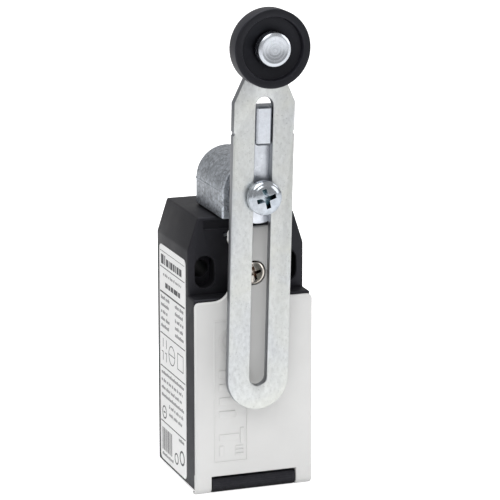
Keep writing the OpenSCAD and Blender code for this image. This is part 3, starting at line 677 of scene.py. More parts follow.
# Each finish is its maker, its colour (or the name of the colour a user may change) and its values.
FINISHES = {
    # The housing gets a painted highlight on its edges and painted shade on its reflection in recesses.
    "black_moulding": (moulded, "moulding", dict(
        roughness=0.46, grain=0.55, lift=5.0, sheen=(0.34, 0.05), Specular_Tint=(0.86, 0.86, 1.0, 1.0))),
    # The cover gets painted shade in wide recesses, behind the lever and in its slot, and a faint painted
    # highlight on its edges.
    "cover_moulding": (moulded, "cover", dict(
        roughness=0.42, grain=0.28, clouds=0.02, wear=0.25, lift=1.12, dusk=0.86)),
    "cast_zinc": (metal, "casting", dict(
        roughness=0.38, swing=0.12, scale=750.0, dark=0.5, wear=0.9, bump=0.9, pitted=0.9,
        dirt=(0.05, 0.055, 0.06), veined=0.85, Metallic=0.9)),
    "zinc_plate": (metal, "plating", dict(
        roughness=0.36, swing=0.07, scale=1400.0, tint=(0.66, 0.665, 0.60), wear=0.3,
        stretch=(1.0, 1.0, 0.6), pitted=0.5, sheared=(0.28, 0.29, 0.31))),
    "hub_plate": (metal, (0.74, 0.77, 0.82), dict(
        roughness=0.32, scale=1200.0, dark=0.84, tint=(0.66, 0.70, 0.78), wear=0.3, bump=0.15,
        sheared=(0.30, 0.32, 0.35))),
    # The bright screw's cross recess gets painted shade, tinted teal as a chromate deposit.
    "bright_screw": (metal, "bright", dict(
        roughness=0.13, swing=0.06, dark=0.6, tint=(0.46, 0.54, 0.64), bump=0.3, dirt=(0.03, 0.10, 0.12))),
    "passivated_screw": (metal, "passivated", dict(
        roughness=0.16, swing=0.06, scale=900.0, dark=0.75, tint=(0.56, 0.48, 0.40),
        dirt=(0.10, 0.045, 0.02))),
    "turned_pin": (turned_metal, (0.64, 0.67, 0.72), dict(centre=ROLLER_CENTRE, pitch=0.8)),
    # The roller gets painted light on its tread, a painted highlight on its edges and painted shade on its
    # reflection in recesses.
    "roller_moulding": (moulded, "roller", dict(
        roughness=0.42, grain=0.5, wear=0.4, scale=3200.0, lift=12.0, sheen=(0.34, 0.01),
        rubbed=(0.018, 0.018, 0.023), Specular_Tint=(0.86, 0.88, 1.0, 1.0))),
    "white_film": (moulded, "label", dict(roughness=0.35, grain=0.12, clouds=0.03, wear=0.0, lift=0.8)),
    "label_ink": (moulded, "ink", dict(grain=0.1, clouds=0.3, wear=0.0, lift=1.6)),
    "seal_rubber": (moulded, (0.012, 0.012, 0.012), dict(roughness=0.7, grain=0.4, wear=0.2)),
    "bush_polymer": (moulded, (0.02, 0.019, 0.018), dict(grain=0.3, wear=0.3)),
    "block_moulding": (moulded, (0.06, 0.065, 0.06), dict(grain=0.4, wear=0.4)),
    "plunger_moulding": (moulded, (0.68, 0.66, 0.6), dict(
        roughness=0.35, grain=0.2, clouds=0.04, wear=0.1, lift=1.1)),
    "spring_steel": (metal, (0.5, 0.51, 0.53), dict(roughness=0.28, wear=0.3)),
    "cam_steel": (metal, (0.42, 0.4, 0.37), dict(roughness=0.35, scale=500.0)),
    "contact_brass": (metal, (0.72, 0.5, 0.22), dict(scale=600.0, tint=(0.5, 0.34, 0.16))),
}
MATERIALS = {}


def material(name):
    """Finish by its name, made the first time it is asked for."""
    if name not in MATERIALS:
        maker, colour, values = FINISHES[name]
        if isinstance(colour, str):
            colour = getattr(colours(), colour)
        MATERIALS[name] = maker(name, colour, **values)
    return MATERIALS[name]


# ---------------------------------------------------------------- housing

UPPER_FRONT = -9.1  # upper front face, behind the cover's tongue
WALL_FRONT = -13.8  # front edge of the lower walls, behind the cover's panel
STEP_Z = 48.0  # where the front steps back
EAR_HALF = 13.8  # outer face of the cover's ears, inside the housing's side walls
OUTSIDE = 20.0  # well past the switch's sides and front


def housing_walls(edge):
    """Lower part behind the cover's panel, and the upper part whose sides slope in to the top."""
    slope_low, slope_in = 59.0, 2.6
    overlap = 6
    upper = box("housing_shell", (-HALF, UPPER_FRONT, STEP_Z - overlap), (HALF, REAR, BODY_TOP))
    for side in SIDES:
        slice_off(upper, (side * HALF, 0, slope_low), (side * (BODY_TOP - slope_low), 0, slope_in))
    soften_sharp(upper, edge, angle=12)
    return join(upper, rounded_box("lower_shell", (-HALF, WALL_FRONT, 0), (HALF, REAR, STEP_Z), edge))


def housing_rooms():
    """Cutters of the switch chamber, gasket rebate, plunger well, clip slot, band and screw insert."""
    chamber_half, chamber_low, chamber_top, chamber_back = 11.6, 7, 45.4, 12.8
    rebate_half, rebate_low, rebate_top, rebate_depth = 12.8, 5.6, 46.6, 1.3
    well_r, stem_r, insert_r, insert_depth = 4.6, 1.55, 1.9, 3.9
    clip_half, clip_back, clip_low, clip_top = 5.7, 5.1, 61.8, 63.0
    band_half, band_depth, band_low, band_top = 10.8, 0.4, 64.1, 66.3
    return [
        rounded_box("chamber", (-chamber_half, WALL_FRONT - 3 * PAST, chamber_low),
                    (chamber_half, chamber_back, chamber_top), 0.6),
        rounded_box("rebate", (-rebate_half, WALL_FRONT - PAST, rebate_low),
                    (rebate_half, WALL_FRONT + rebate_depth, rebate_top), 0.3),
        turned("well", [(well_r, 0), (well_r, OUTSIDE)], (0, PLUNGER_Y, STEP_Z), UPRIGHT, 64),
        turned("stem_hole", [(stem_r, -PAST), (stem_r, PAST + STEP_Z - chamber_top)],
               (0, PLUNGER_Y, chamber_top), UPRIGHT, 32),
        box("clip_slot", (-clip_half, UPPER_FRONT - PAST, clip_low), (clip_half, clip_back, clip_top)),
        rounded_box("band", (-band_half, UPPER_FRONT - PAST, band_low),
                    (band_half, UPPER_FRONT + band_depth, band_top), 0.15),
        rod("insert", insert_r, UPPER_FRONT - PAST, UPPER_FRONT + insert_depth, z=SCREW_Z),
    ]


def fixing_cutters(side):
    """Slotted recess and hole of one fixing screw, and the pilot of one block screw."""
    recess_half, recess_up, recess_depth = 2.5, 4, 4
    lip, lip_depth = 0.2, 0.15
    mouth_r, mouth_depth = 2.5, 0.35
    pilot_x, pilot_z, pilot_r, pilot_front, pilot_back = 10.1, 32, 0.85, 8, 13.4
    x = side * FIXING_X
    recess = stadium("recess", recess_half, -recess_up, recess_up, UPPER_FRONT - PAST,
                     UPPER_FRONT + recess_depth)
    rim = stadium("rim", recess_half + lip, -recess_up - lip, recess_up + lip, UPPER_FRONT - PAST,
                  UPPER_FRONT + lip_depth)
    mouth = [(FIXING_R, 0), (mouth_r, mouth_depth), (mouth_r, mouth_depth + PAST)]
    return [
        placed(recess, (x, 0, FIXING_Z)),
        placed(rim, (x, 0, FIXING_Z)),
        rod("hole", FIXING_R, -OUTSIDE, REAR + PAST, x, FIXING_Z),
        turned("rear_mouth", mouth, (x, REAR - mouth_depth, FIXING_Z), TO_REAR, 48),
        rod("pilot", pilot_r, pilot_front, pilot_back, side * pilot_x, pilot_z, 24),
    ]


def entry_cutters():
    """Cable entry with shallow thread rings, and its flared mouth."""
    depth, pitch, first, groove = 8.5, 0.75, 0.8, 0.2
    rings = [(ENTRY_R, -PAST)]
    for turn_no in range(9):
        z = first + turn_no * pitch
        rings += [(ENTRY_R, z - 0.28), (ENTRY_R + groove, z - 0.08), (ENTRY_R + groove, z + 0.08),
                  (ENTRY_R, z + 0.28)]
    rings.append((ENTRY_R, depth))
    mouth_r, mouth_depth = ENTRY_R + 0.65, 0.6
    mouth = [(mouth_r, -PAST), (mouth_r, 0), (ENTRY_R, mouth_depth), (ENTRY_R, PAST)]
    return [turned("entry", rings, ORIGIN, UPRIGHT), turned("mouth", mouth, ORIGIN, UPRIGHT)]


def hinge_barrel(ridges):
    """Ridged barrel between the cover's ears, with its web and its pin bore."""
    half, r, web_back, bore_r = 10.7, 2.1, -9.8, 0.75
    ridge_half, ridge_in, fan = 10.4, 0.2, 62
    barrel = turned("barrel", [(r, 0), (r, 2 * half)], (-half, HINGE_Y, HINGE_Z), TO_RIGHT, 64)
    join(barrel, box("web", (-half, HINGE_Y, 0.05), (half, web_back, HINGE_Z + r)))
    for i in range(ridges):
        angle = math.radians(fan * (2 * i / (ridges - 1) - 1))
        ridge = rounded_box("ridge", (-ridge_half, -0.25, -0.13), (ridge_half, 0.25, 0.13), 0.1)
        y = HINGE_Y - (r - ridge_in) * math.cos(angle)
        z = HINGE_Z + (r - ridge_in) * math.sin(angle)
        join(barrel, placed(ridge, (0, y, z), (-angle, 0, 0)))
    bore = turned("pin_bore", [(bore_r, 0), (bore_r, 2 * OUTSIDE)], (-OUTSIDE, HINGE_Y, HINGE_Z), TO_RIGHT, 32)
    return cut(barrel, bore)


def make_housing():
    step_depth, pocket_back, pocket_top, ear_gap = 0.3, -10.4, 4.25, 0.1
    shell = housing_walls(sizes().edge)
    cut(shell, *housing_rooms())
    for side in SIDES:
        cut(shell, *fixing_cutters(side))
    cut(shell, *entry_cutters())
    cut(shell,
        box("edge_step", (-OUTSIDE, WALL_FRONT - PAST, -PAST), (OUTSIDE, WALL_FRONT + step_depth, pocket_top)),
        box("ear_pocket", (-EAR_HALF - ear_gap, WALL_FRONT - PAST, -PAST),
            (EAR_HALF + ear_gap, pocket_back, pocket_top)))
    join(shell, hinge_barrel(sizes().ridges))
    finish(shell, "switch_body", "housing_plastic", "black_moulding", "housing")


# ---------------------------------------------------------------- cover

LID_FRONT = LID_LOW.y
LID_INSIDE = LID_FRONT + 1.1  # inner face of the cover's panel


def cover_panel(edge):
    """Flat panel with its flares and the tongue above them, seen from the front."""
    panel_low, shoulder, corner = 3.65, 47.5, 1.2
    tongue_half, tongue_corner, flare = 6.1, 1.3, 4.1
    ear_r, ear_out, ear_drop = 1.7, 0.5, 1.1
    top = LID_HIGH.z
    panel = box("cover_panel", (-LID_HIGH.x, LID_FRONT, panel_low), (LID_HIGH.x, LID_INSIDE, shoulder))
    round_corners(panel, corner, 6, lambda a, b: runs_along_y(a, b) and a.z > shoulder - PAST)

    flare_x, flare_z = tongue_half + flare, shoulder + flare
    flares = box("flares", (-flare_x, LID_FRONT, shoulder - 2 * PAST), (flare_x, LID_INSIDE, flare_z))
    for side in SIDES:
        cut(flares, rod("hollow", flare, LID_FRONT - PAST, LID_INSIDE + PAST, side * flare_x, flare_z, 64))
    tongue = box("tongue", (-tongue_half, LID_FRONT, shoulder - PAST), (tongue_half, LID_INSIDE, top))
    round_corners(tongue, tongue_corner, 6, lambda a, b: runs_along_y(a, b) and a.z > top - PAST)
    ears = [rod("top_ear", ear_r, LID_FRONT, LID_INSIDE, side * (tongue_half + ear_out - ear_r),
                top - ear_r - drop, 32) for side in SIDES for drop in (0, ear_drop)]
    join(panel, flares, tongue, *ears)
    clean(panel)
    at_front = LID_FRONT + 0.05
    return soften_sharp(panel, edge, 4, 50, lambda a, b: a.y < at_front and b.y < at_front)


def cover_ear(side):
    """Ear at one lower corner, cut back beside the housing's wall and bored for the hinge pin."""
    inner, back, top = 10.9, -10.7, 4.4
    low_round, edge = 1.9, 0.25
    wall_low, wall_back = -0.15, 2.6
    bore_r, bore_from, bore_length = 0.8, 9.9, 3.7
    x0, x1 = sorted((side * inner, side * LID_HIGH.x))
    ear = box("ear", (x0, LID_FRONT, LID_LOW.z), (x1, back, top))
    for lower_edge in (lambda y: y < LID_FRONT + 0.1, lambda y: y > back - 0.1):
        round_corners(ear, low_round, 8, lambda a, b: runs_along_x(a, b) and lower_edge(a.y) and a.z < 1)
    soften_sharp(ear, edge, 3, 50, lambda a, b: min(a.z, b.z) < top - 0.1)
    x0, x1 = sorted((side * EAR_HALF, side * OUTSIDE))
    beside = box("beside_wall", (x0, LID_INSIDE, wall_low), (x1, back + PAST, top + PAST))
    behind = box("behind_wall", (x0, LID_FRONT + wall_back, LID_LOW.z - PAST), (x1, back + PAST, top + PAST))
    bore_x = min(side * bore_from, side * (bore_from + bore_length))
    bore = turned("pin_hole", [(bore_r, 0), (bore_r, bore_length)], (bore_x, HINGE_Y, HINGE_Z), TO_RIGHT, 32)
    return cut(ear, beside, behind, bore)


def make_cover():
    rib_half, rib_top, rib_back, wall = 3.2, 63.95, LID_HIGH.y, 1.2
    rib_low = STEP_Z + 0.1
    boss_r, seat_r, seat_depth, screw_r = 3.9, 3.0, 1.2, 1.5
    frame_half, frame_low, frame_top, frame_line, frame_back = 11.4, 7, 45.2, 1.0, 2.0
    panel = cover_panel(sizes().lid_edge)
    rib = rounded_box("tongue_rib", (-rib_half, LID_FRONT + 0.5, rib_low), (rib_half, rib_back, rib_top), 0.3)
    cut(rib, box("tongue_hollow", (wall - rib_half, LID_INSIDE, rib_low + wall),
                 (rib_half - wall, rib_back + PAST, rib_top - wall)))
    boss = rod("boss", boss_r, LID_FRONT + 0.4, rib_back, z=SCREW_Z, sides=64)
    locating = box("locating_frame", (-frame_half, LID_INSIDE - 0.3, frame_low),
                   (frame_half, LID_FRONT + frame_back, frame_top))
    inside = frame_half - frame_line
    cut(locating, box("frame_gap", (-inside, LID_FRONT - PAST, frame_low + frame_line),
                      (inside, LID_FRONT + frame_back + PAST, frame_top - frame_line)))
    join(panel, locating, rib, boss)
    for side in SIDES:
        join(panel, cover_ear(side))
    seat = [(seat_r, 0), (seat_r, 1.05), (seat_r + 0.15, 1.28), (seat_r + 0.15, 3)]
    cut(panel, turned("seat", seat, (0, LID_FRONT + seat_depth, SCREW_Z)),
        rod("screw_hole", screw_r, LID_FRONT - 2 * PAST, rib_back + PAST, z=SCREW_Z))
    finish(panel, "cover", "cover_plastic", "cover_moulding", "cover")
    make_relief(sizes().relief)


def make_relief(height):
    """Raised mark on the cover: a thin frame round plain bars and a ring."""
    left, right, bottom, top = -10.3, -1.7, 7.1, 42.9
    line, sunk, frame_share = 0.28, 0.2, 0.7
    back = LID_FRONT + sunk

    def bar(x0, x1, z0, z1, share=1.0):
        return rounded_box("relief_bar", (x0, LID_FRONT - height * share, z0), (x1, back, z1), 0.07, 2)

    gap = box("gap", (left + line, LID_FRONT - PAST, bottom + line), (right - line, back + PAST, top - line))
    parts = [cut(bar(left, right, bottom, top, frame_share), gap)]
    ring_r, ring_inner, dot_r, rise = 3.0, 2.15, 1.0, sunk + height
    centre = ((left + right) / 2, back, 37.6)
    ring = [(ring_inner, 0), (ring_inner, rise), (ring_r, rise), (ring_r, 0)]
    parts.append(turned("relief_ring", ring, centre, sides=64, open_bore=True))
    parts.append(turned("relief_dot", [(dot_r, 0), (dot_r, rise)], centre, sides=48))
    for i in range(4):
        z = 28.6 - i * 3.4
        parts.append(bar(left + 1.3, right - 1.3 - (i % 2) * 1.8, z, z + 1.7))
    parts.append(bar(left + 1.3, right - 2.2, 12.6, 14.2))
    parts.append(bar(right - 1.9, right - 0.9, 11.6, 15.6))
    parts.append(bar(left + 1.3, left + 2.4, 8.8, 11.4))
    for i in range(3):
        z = 8.7 + i * 0.95
        parts.append(bar(right - 3.2, right - 1.1, z, z + 0.5))
    finish(merge("cover_relief", parts), "cover", "cover_plastic", "cover_moulding")


# ---------------------------------------------------------------- label

class Print:
    """Flat ink on the label, drawn in one mesh. U runs from the label's back edge to its front, V up."""

    def __init__(self, u0, u1, v):
        """Starts with one thin line, because an object needs a first face."""
        bpy.ops.object.select_all(action="DESELECT")
        bpy.ops.mesh.primitive_plane_add(size=MM, location=self.spot((u0 + u1) / 2, v), rotation=TO_LEFT)
        self.piece = made("label_print")
        self.piece.scale = (0.12, u1 - u0, 1)
        settle(self.piece)
        bpy.ops.object.mode_set(mode="EDIT")

    def spot(self, u, v):
        return Vector((LABEL_LOW.x - 0.005, LABEL_HIGH.y - u, v)) * MM

    def bar(self, u0, u1, v0, v1):
        middle = self.spot((u0 + u1) / 2, (v0 + v1) / 2)
        bpy.ops.mesh.primitive_plane_add(size=MM, location=middle, rotation=TO_LEFT)
        bpy.ops.transform.resize(value=(1, u1 - u0, v1 - v0), center_override=middle)

    def ring(self, u, v, radius, line):
        middle = self.spot(u, v)
        bpy.ops.mesh.primitive_circle_add(vertices=32, radius=radius * MM, location=middle, rotation=TO_LEFT)
        bpy.ops.mesh.extrude_region_move(TRANSFORM_OT_translate={"value": (0, 0, 0)})
        k = (radius - line) / radius
        bpy.ops.transform.resize(value=(1, k, k), center_override=middle)

    def square(self, u0, u1, v0, v1, line=0.2):
        for u in (u0, u1 - line):
            self.bar(u, u + line, v0, v1)
        for v in (v0, v1 - line):
            self.bar(u0, u1, v, v + line)

    def blocks(self, u, v, height, widths, gap):
        """A row of blocks of the given widths."""
        for width in widths:
            self.bar(u, u + width, v, v + height)
            u += width + gap

    def text(self, v, height, u0, u1, start):
        """A row of short upright marks in groups, of the size and rhythm of small print."""
        pitch, ink_share, short, space = 0.52, 0.48, 0.72, 1.9
        u, i = u0, start
        while u < u1:
            tall = height * (1.0 if (i * 7) % 5 == 0 else short)
            self.bar(u, u + pitch * ink_share, v, v + tall)
            i += 1
            u += pitch * (space if (i * i + start) % 6 == 0 else 1.0)

    def close(self, thickness):
        """Gives the ink its thickness and returns the finished piece."""
        bpy.ops.mesh.select_all(action="SELECT")
        bpy.ops.mesh.normals_make_consistent(inside=False)
        bpy.ops.object.mode_set(mode="OBJECT")
        wall = self.piece.modifiers.new("ink", "SOLIDIFY")
        wall.thickness = 2 * thickness * MM
        wall.offset = 0
        bpy.ops.object.modifier_apply(modifier=wall.name)
        return self.piece


def make_label():
    tucked, corner = 0.03, 1.4
    film = box("label_film", LABEL_LOW, LABEL_HIGH + Vector((tucked, 0, 0)))
    round_corners(film, corner, 8, runs_along_x)
    finish(film, "switch_body", "label_film", "white_film", "rating_label")

    left, right, line = 0.5, 19.7, 0.13
    ink = Print(0.4, 19.6, 54.85)
    ink.bar(left, right, 50.7, 50.9)
    ink.bar(left, right, 44.2, 44.6)
    for v in (33.8, 25.3, 11.0):
        ink.bar(left, right, v - line, v + line)
    ink.blocks(1.4, 51.6, 2.4, [2.0, 0.7], 0.6)
    ink.blocks(5.4, 51.6, 1.8, [1.7, 0.6, 1.7, 1.2, 0.6, 1.5, 1.7], 0.5)
    ink.text(48.8, 0.75, 3.0, 17.0, 2)
    ink.blocks(4.6, 46.0, 1.25, [2.0, 1.4, 1.8, 3.0, 1.4], 0.5)
    for i in range(5):
        v = 42.6 - i * 1.8
        ink.text(v, 0.95, 1.2, 7.6 - 0.5 * (i % 3), i)
        ink.text(v, 0.95, 12.2, 18.6 - 0.6 * (i % 2), i + 3)
    print_symbols(ink)
    for i in range(6):
        v = 23.4 - i * 1.95
        ink.text(v, 0.9, 1.2 if i < 4 else 7.0, 18.8 - 0.9 * (i % 3), i + 1)
    ink.ring(3.2, 13.6, 1.7, 0.35)
    ink.bar(2.5, 3.9, 13.4, 13.8)
    ink.blocks(1.4, 3.6, 5.8, [0.3, 0.15, 0.45, 0.15, 0.3, 0.3, 0.15, 0.5, 0.2, 0.3, 0.15, 0.4], 0.38)
    ink.text(2.2, 0.8, 1.4, 10.0, 4)
    ink.text(9.4, 0.9, 14.6, 18.4, 1)
    ink.ring(17.0, 5.6, 1.9, 0.5)
    ink.ring(12.6, 4.2, 1.5, 0.4)
    finish(ink.close(sizes().ink), "switch_body", "label_film", "label_ink")


def print_symbols(ink):
    """Plain contact, ring and square symbols in the label's middle field."""
    line = 0.25
    for u in (2.4, 5.0):
        ink.bar(u, u + line, 27.0, 29.0)
        ink.bar(u, u + line, 30.4, 32.6)
        ink.bar(u - 0.9, u + line, 29.0, 29.0 + line)
    ink.ring(9.4, 29.7, 2.5, line)
    ink.bar(7.0, 11.8, 29.6, 29.8)
    ink.square(13.8, 18.4, 27.6, 31.8)


# ---------------------------------------------------------------- head

def make_head():
    half, front, rear = HEAD_HIGH.x, HEAD_LOW.y, HEAD_HIGH.y
    base = high("head_seal").z
    seam_out, seam_low, seam_top = 0.09, 0.22, 0.16
    head = box("head_casting_shell", (-half, front, base), (half, rear, SHAFT_Z + half))
    round_end(head, half, 28, lambda z: z > SHAFT_Z)
    soften_sharp(head, sizes().cast_edge, 4, 50)
    seam = rounded_box("parting_line", (-half - seam_out, front + 0.8, SHAFT_Z - seam_low),
                       (half + seam_out, rear + seam_out, SHAFT_Z + seam_top), 0.07, 2)
    spigot_r, groove_r, groove_low, groove_top = 4.5, 3.6, 1.3, 2.3
    spigot = [(spigot_r, 0), (spigot_r, groove_low), (groove_r, groove_low), (groove_r, groove_top),
              (spigot_r, groove_top), (spigot_r, 8)]
    join(head, seam, turned("spigot", spigot, (0, PLUNGER_Y, HEAD_LOW.z), UPRIGHT))
    cavity_r, cavity_back, cavity_deep, bore_r = 5.9, 3.6, 17.4, 2.05
    cavity = [(cavity_r, 0), (cavity_r, cavity_deep), (cavity_r + 0.25, cavity_deep + 0.32),
              (cavity_r + 0.25, cavity_deep + 1.6)]
    cut(head, turned("cavity", cavity, (0, cavity_back, SHAFT_Z)),
        rod("journal", bore_r, 0, 5.1, z=SHAFT_Z),
        turned("plunger_bore", [(bore_r, 0), (bore_r, 13)], (0, PLUNGER_Y, HEAD_LOW.z - PAST), UPRIGHT, 48))
    finish(head, "switch_body", "zinc_casting", "cast_zinc", "head_casting")


# ---------------------------------------------------------------- lever, hub, screws and roller

def tapered_plate(name, y0, y1, sections):
    """Plate made from its top section down: sections are (height, half width) pairs."""
    (top, half), (lower, _) = sections[:2]
    piece = box(name, (-half, y0, lower), (half, y1, top))
    bpy.ops.object.mode_set(mode="EDIT")
    select(piece, "FACE", lambda f: f.normal.z < -0.9)
    for (z, width), (next_z, next_width) in zip(sections[1:], sections[2:]):
        middle = Vector((0, (y0 + y1) / 2, next_z)) * MM
        bpy.ops.mesh.extrude_region_move(TRANSFORM_OT_translate={"value": (0, 0, (next_z - z) * MM)})
        bpy.ops.transform.resize(value=(next_width / width, 1, 1), center_override=middle)
    bpy.ops.object.mode_set(mode="OBJECT")
    return piece


def make_lever():
    half, neck = 7.635, 4.5
    taper_low, taper_top, tip = 22.47, 29.29, -52.22
    slot_half, slot_top, slot_tip = 2.195, 23.82, -46.32
    pin_r, notch_r, notch_out, notch_z = 2.0, 0.6, 0.3, 15.2
    front, back = PLATE_FRONT - PAST, PLATE_BACK + PAST
    plate = tapered_plate("lever_strip", PLATE_FRONT, PLATE_BACK, [
        (ROLLER_UP + neck, neck), (taper_top, neck), (taper_low, half), (tip, half)])
    round_end(plate, neck, 16, lambda z: z > ROLLER_UP)
    round_end(plate, half, 28, lambda z: z < tip + 0.1)
    cut(plate, stadium("slot", slot_half, slot_tip, slot_top, front, back),
        rod("pin_hole", pin_r, front, back, z=ROLLER_UP))
    for side in SIDES:
        cut(plate, rod("notch", notch_r, front, back, side * (half + notch_out), notch_z, 24))
    clean(plate)
    soften_sharp(plate, sizes().sheared_edge, 3, 55)
    finish(on_lever(plate), "lever", "plated_steel", "zinc_plate", "lever_plate", smooth=28)


def make_hub():
    front, back, half, top, drop = -18.7, -16.6, 5.6, 21.6, 1.5
    boss_r, boss_back, boss_long = 5.0, -14.4, 2.6
    key_half, key_front, key_low, bevel = 2.0, -21.1, 12.2, 0.55
    clamp_r, shaft_r = 2.15, 3.05
    plate = tapered_plate("hub_plate", front, back, [(top, half), (0, half), (-drop - half, half)])
    round_end(plate, half, 24, lambda z: z < -drop)
    soften_sharp(plate, 0.3, 3, 50)
    boss = turned("boss", [(boss_r, 0), (boss_r, boss_long)], (0, boss_back, 0))
    key = box("key", (-key_half, key_front, key_low), (key_half, front + 0.7, top))
    soften_sharp(key, bevel, 1, 40, lambda a, b: (max(a.y, b.y) < key_front + 0.1 and min(a.x, b.x) < 0)
                 or min(a.z, b.z) > top - 0.1)
    join(plate, boss, key)
    cut(plate, rod("clamp_bore", clamp_r, -OUTSIDE, boss_back + PAST, sides=48),
        rod("shaft_bore", shaft_r, back, boss_back + PAST, sides=64))
    finish(on_lever(plate), "drive", "hub_steel", "hub_plate", "lever_hub")


def cross_cutter(reach, width, y_face, depth):
    """Cross-shaped driver recess that narrows towards its floor, turned as the screw was left."""
    left_at, floor_reach, floor_width = -16, 0.55, 0.7
    floor = y_face + depth
    arms = []
    for quarter in (0, 90):
        arm = box("cross_arm", (-reach, y_face - PAST, -width / 2), (reach, floor, width / 2))
        bpy.ops.object.mode_set(mode="EDIT")
        select(arm, "FACE", lambda f: f.normal.y > 0.9)
        bpy.ops.transform.resize(value=(floor_reach, 1, floor_width), center_override=(0, floor * MM, 0))
        bpy.ops.object.mode_set(mode="OBJECT")
        arms.append(placed(arm, turn=(0, math.radians(quarter + left_at), 0)))
    core = turned("cross_core", [(width * 0.35, 0), (width * 0.95, depth + PAST)], (0, floor, 0), sides=32)
    return join(*arms, core)


def make_clamp_screw():
    """Pan head with two shallow grooves turned in its crown, on a thread that enters the shaft."""
    seat, reach, height, crown = -21.55, 4.15, 2.5, 1.3
    thread_r, thread_back = 1.95, -13.4
    grooves, groove_depth = (24, 36), 0.07
    rings = [(thread_r, thread_back), (thread_r, -0.01), (reach - 0.12, 0), (reach, 0.15),
             (reach, height - crown - 0.1)]
    for degrees in range(6, 84, 6):
        a = math.radians(degrees)
        sunk = groove_depth if degrees in grooves else 0.0
        rings.append(((reach - sunk) * math.cos(a), height - crown + (crown - sunk) * math.sin(a)))
    head = turned("clamp_screw_head", rings, (0, seat, 0))
    cut(head, cross_cutter(3.0, 1.25, seat - height, 1.9))
    finish(on_lever(head), "drive", "screw_steel", "bright_screw", "clamp_screw")


def make_lock_washer():
    """Washer with small notches round its rim."""
    inner, outer, thick, teeth = 2.05, 4.0, 0.5, 12
    notch_in, notch_half = 0.55, 0.16
    rings = [(inner, 0), (outer - 0.1, 0), (outer, 0.08), (outer, thick - 0.08), (outer - 0.1, thick),
             (inner, thick)]
    washer = turned("toothed_washer", rings, (0, PLATE_FRONT - 0.05, 0), open_bore=True)
    for i in range(teeth):
        notch = box("notch", (outer - notch_in, PLATE_FRONT - PAST, -notch_half),
                    (outer + PAST, PLATE_FRONT, notch_half))
        cut(washer, placed(notch, turn=(0, math.tau * i / teeth, 0)))
    finish(on_lever(washer), "drive", "screw_steel", "hub_plate", "lock_washer")


def make_cover_screw():
    """Captive pan head screw in the cover's tongue."""
    r, height, thread_r, thread_back, seat = 2.75, 1.5, 1.45, -8.2, -13.8
    rings = [(thread_r, thread_back), (thread_r, -0.01), (r - 0.15, 0), (r, 0.15), (r, 0.85), (2.68, 1.1),
             (2.45, 1.3), (2.0, 1.42), (1.2, height)]
    screw = turned("captive_screw", rings, (0, seat, 0))
    cut(screw, cross_cutter(2.2, 0.85, seat - height, 1.2))
    finish(placed(screw, (0, 0, SCREW_Z)), "cover", "screw_steel", "passivated_screw", "cover_screw")


def make_roller():
    """Tyre with a recessed face in front, round edges and a shallow groove behind."""
    back, width, radius, bore = high("roller").y, 4.4, 9.34, 2.55
    edge, lip, dish = 0.35, 7.5, 1.7
    rings = [(bore, 0), (6.2, 0), (6.4, 0.35), (7.4, 0.35), (7.6, 0)]
    rings += fillet(radius - edge, edge, edge, -90, 0)
    rings += fillet(radius - edge, width - edge, edge, 0, 90)
    rings += [(lip + 0.25, width), (lip + 0.08, width - 0.08), (lip, width - 0.25)]
    rings += [(lip - 0.08, width - dish + 0.4), (lip - 0.2, width - dish + 0.12), (lip - 0.5, width - dish),
              (bore, width - dish - 0.2)]
    roller = turned("roller_tyre", rings, (0, back, ROLLER_UP), open_bore=True, sides=128)
    finish(on_lever(roller), "roller", "roller_plastic", "roller_moulding", "roller")


def make_roller_pin():
    """Stepped rivet with a bevelled front head and a spread tail behind the lever."""
    r, face, tail_r, plate_r, bearing_r, neck = 4.06, -25.6, 3.2, 2.0, 2.5, -1.2
    tail, tail_front, shoulder = -8.5, -7.2, -5.0
    rings = [(tail_r - 0.2, tail), (tail_r, tail + 0.2), (tail_r, tail_front), (plate_r, tail_front),
             (plate_r, shoulder), (bearing_r, shoulder), (bearing_r, neck), (r - 0.1, neck), (r, neck + 0.1),
             (r, 0.95), (r - 0.12, 1.15), (r - 0.75, 1.47), (r - 0.95, 1.47), (r - 1.1, 1.4), (0.5, 1.4)]
    pin = turned("roller_rivet", rings, (0, face, ROLLER_UP))
    finish(on_lever(pin), "lever", "pin_steel", "turned_pin", "roller_pin")


# ---------------------------------------------------------------- pieces that keep their CAD shape

INNER_FINISH = {
    "seal_rubber": ("cover_gasket", "head_seal", "shaft_seal"),
    "bright_screw": ("hinge_pin", "lever_shaft", "block_screws", "terminal_screws", "terminal_clamps",
                     "roller_washer", "head_clip"),
    "bush_polymer": ("shaft_bush",),
    "cam_steel": ("cam",),
    "spring_steel": ("cam_circlip", "return_spring", "plunger_spring", "spring_nc", "spring_no"),
    "plunger_moulding": ("plunger", "contact_carrier"),
    "block_moulding": ("contact_block", "contact_block_lid"),
    "contact_brass": ("bridge_nc", "bridge_no", "terminal_nc_left", "terminal_nc_right",
                      "terminal_no_left", "terminal_no_right"),
}


def finish_inner_pieces():
    for look, nodes in INNER_FINISH.items():
        for name in nodes:
            materials = frame["nodes"][name].data.materials
            materials.clear()
            materials.append(material(look))


# ---------------------------------------------------------------- stage

# Lights of the studio: place and width in metres, and power in watts.
LIGHTS = {
    "key": ((-0.25, -0.75, 0.85), 0.9, 5.0),
    "top": ((-0.15, 0.05, 0.9), 0.6, 3.6),
    "right": ((0.9, -0.5, 0.4), 0.7, 2.0),
}
SWITCH_MIDDLE = Vector((0, 0, 0.06))


def face(thing, direction, roll=0.0):
    """Turns a light or a camera so that it looks in a direction."""
    thing.rotation_mode = "QUATERNION"
    rolled = Matrix.Rotation(roll, 3, "Z").to_quaternion()
    thing.rotation_quaternion = direction.to_track_quat("-Z", "Y") @ rolled


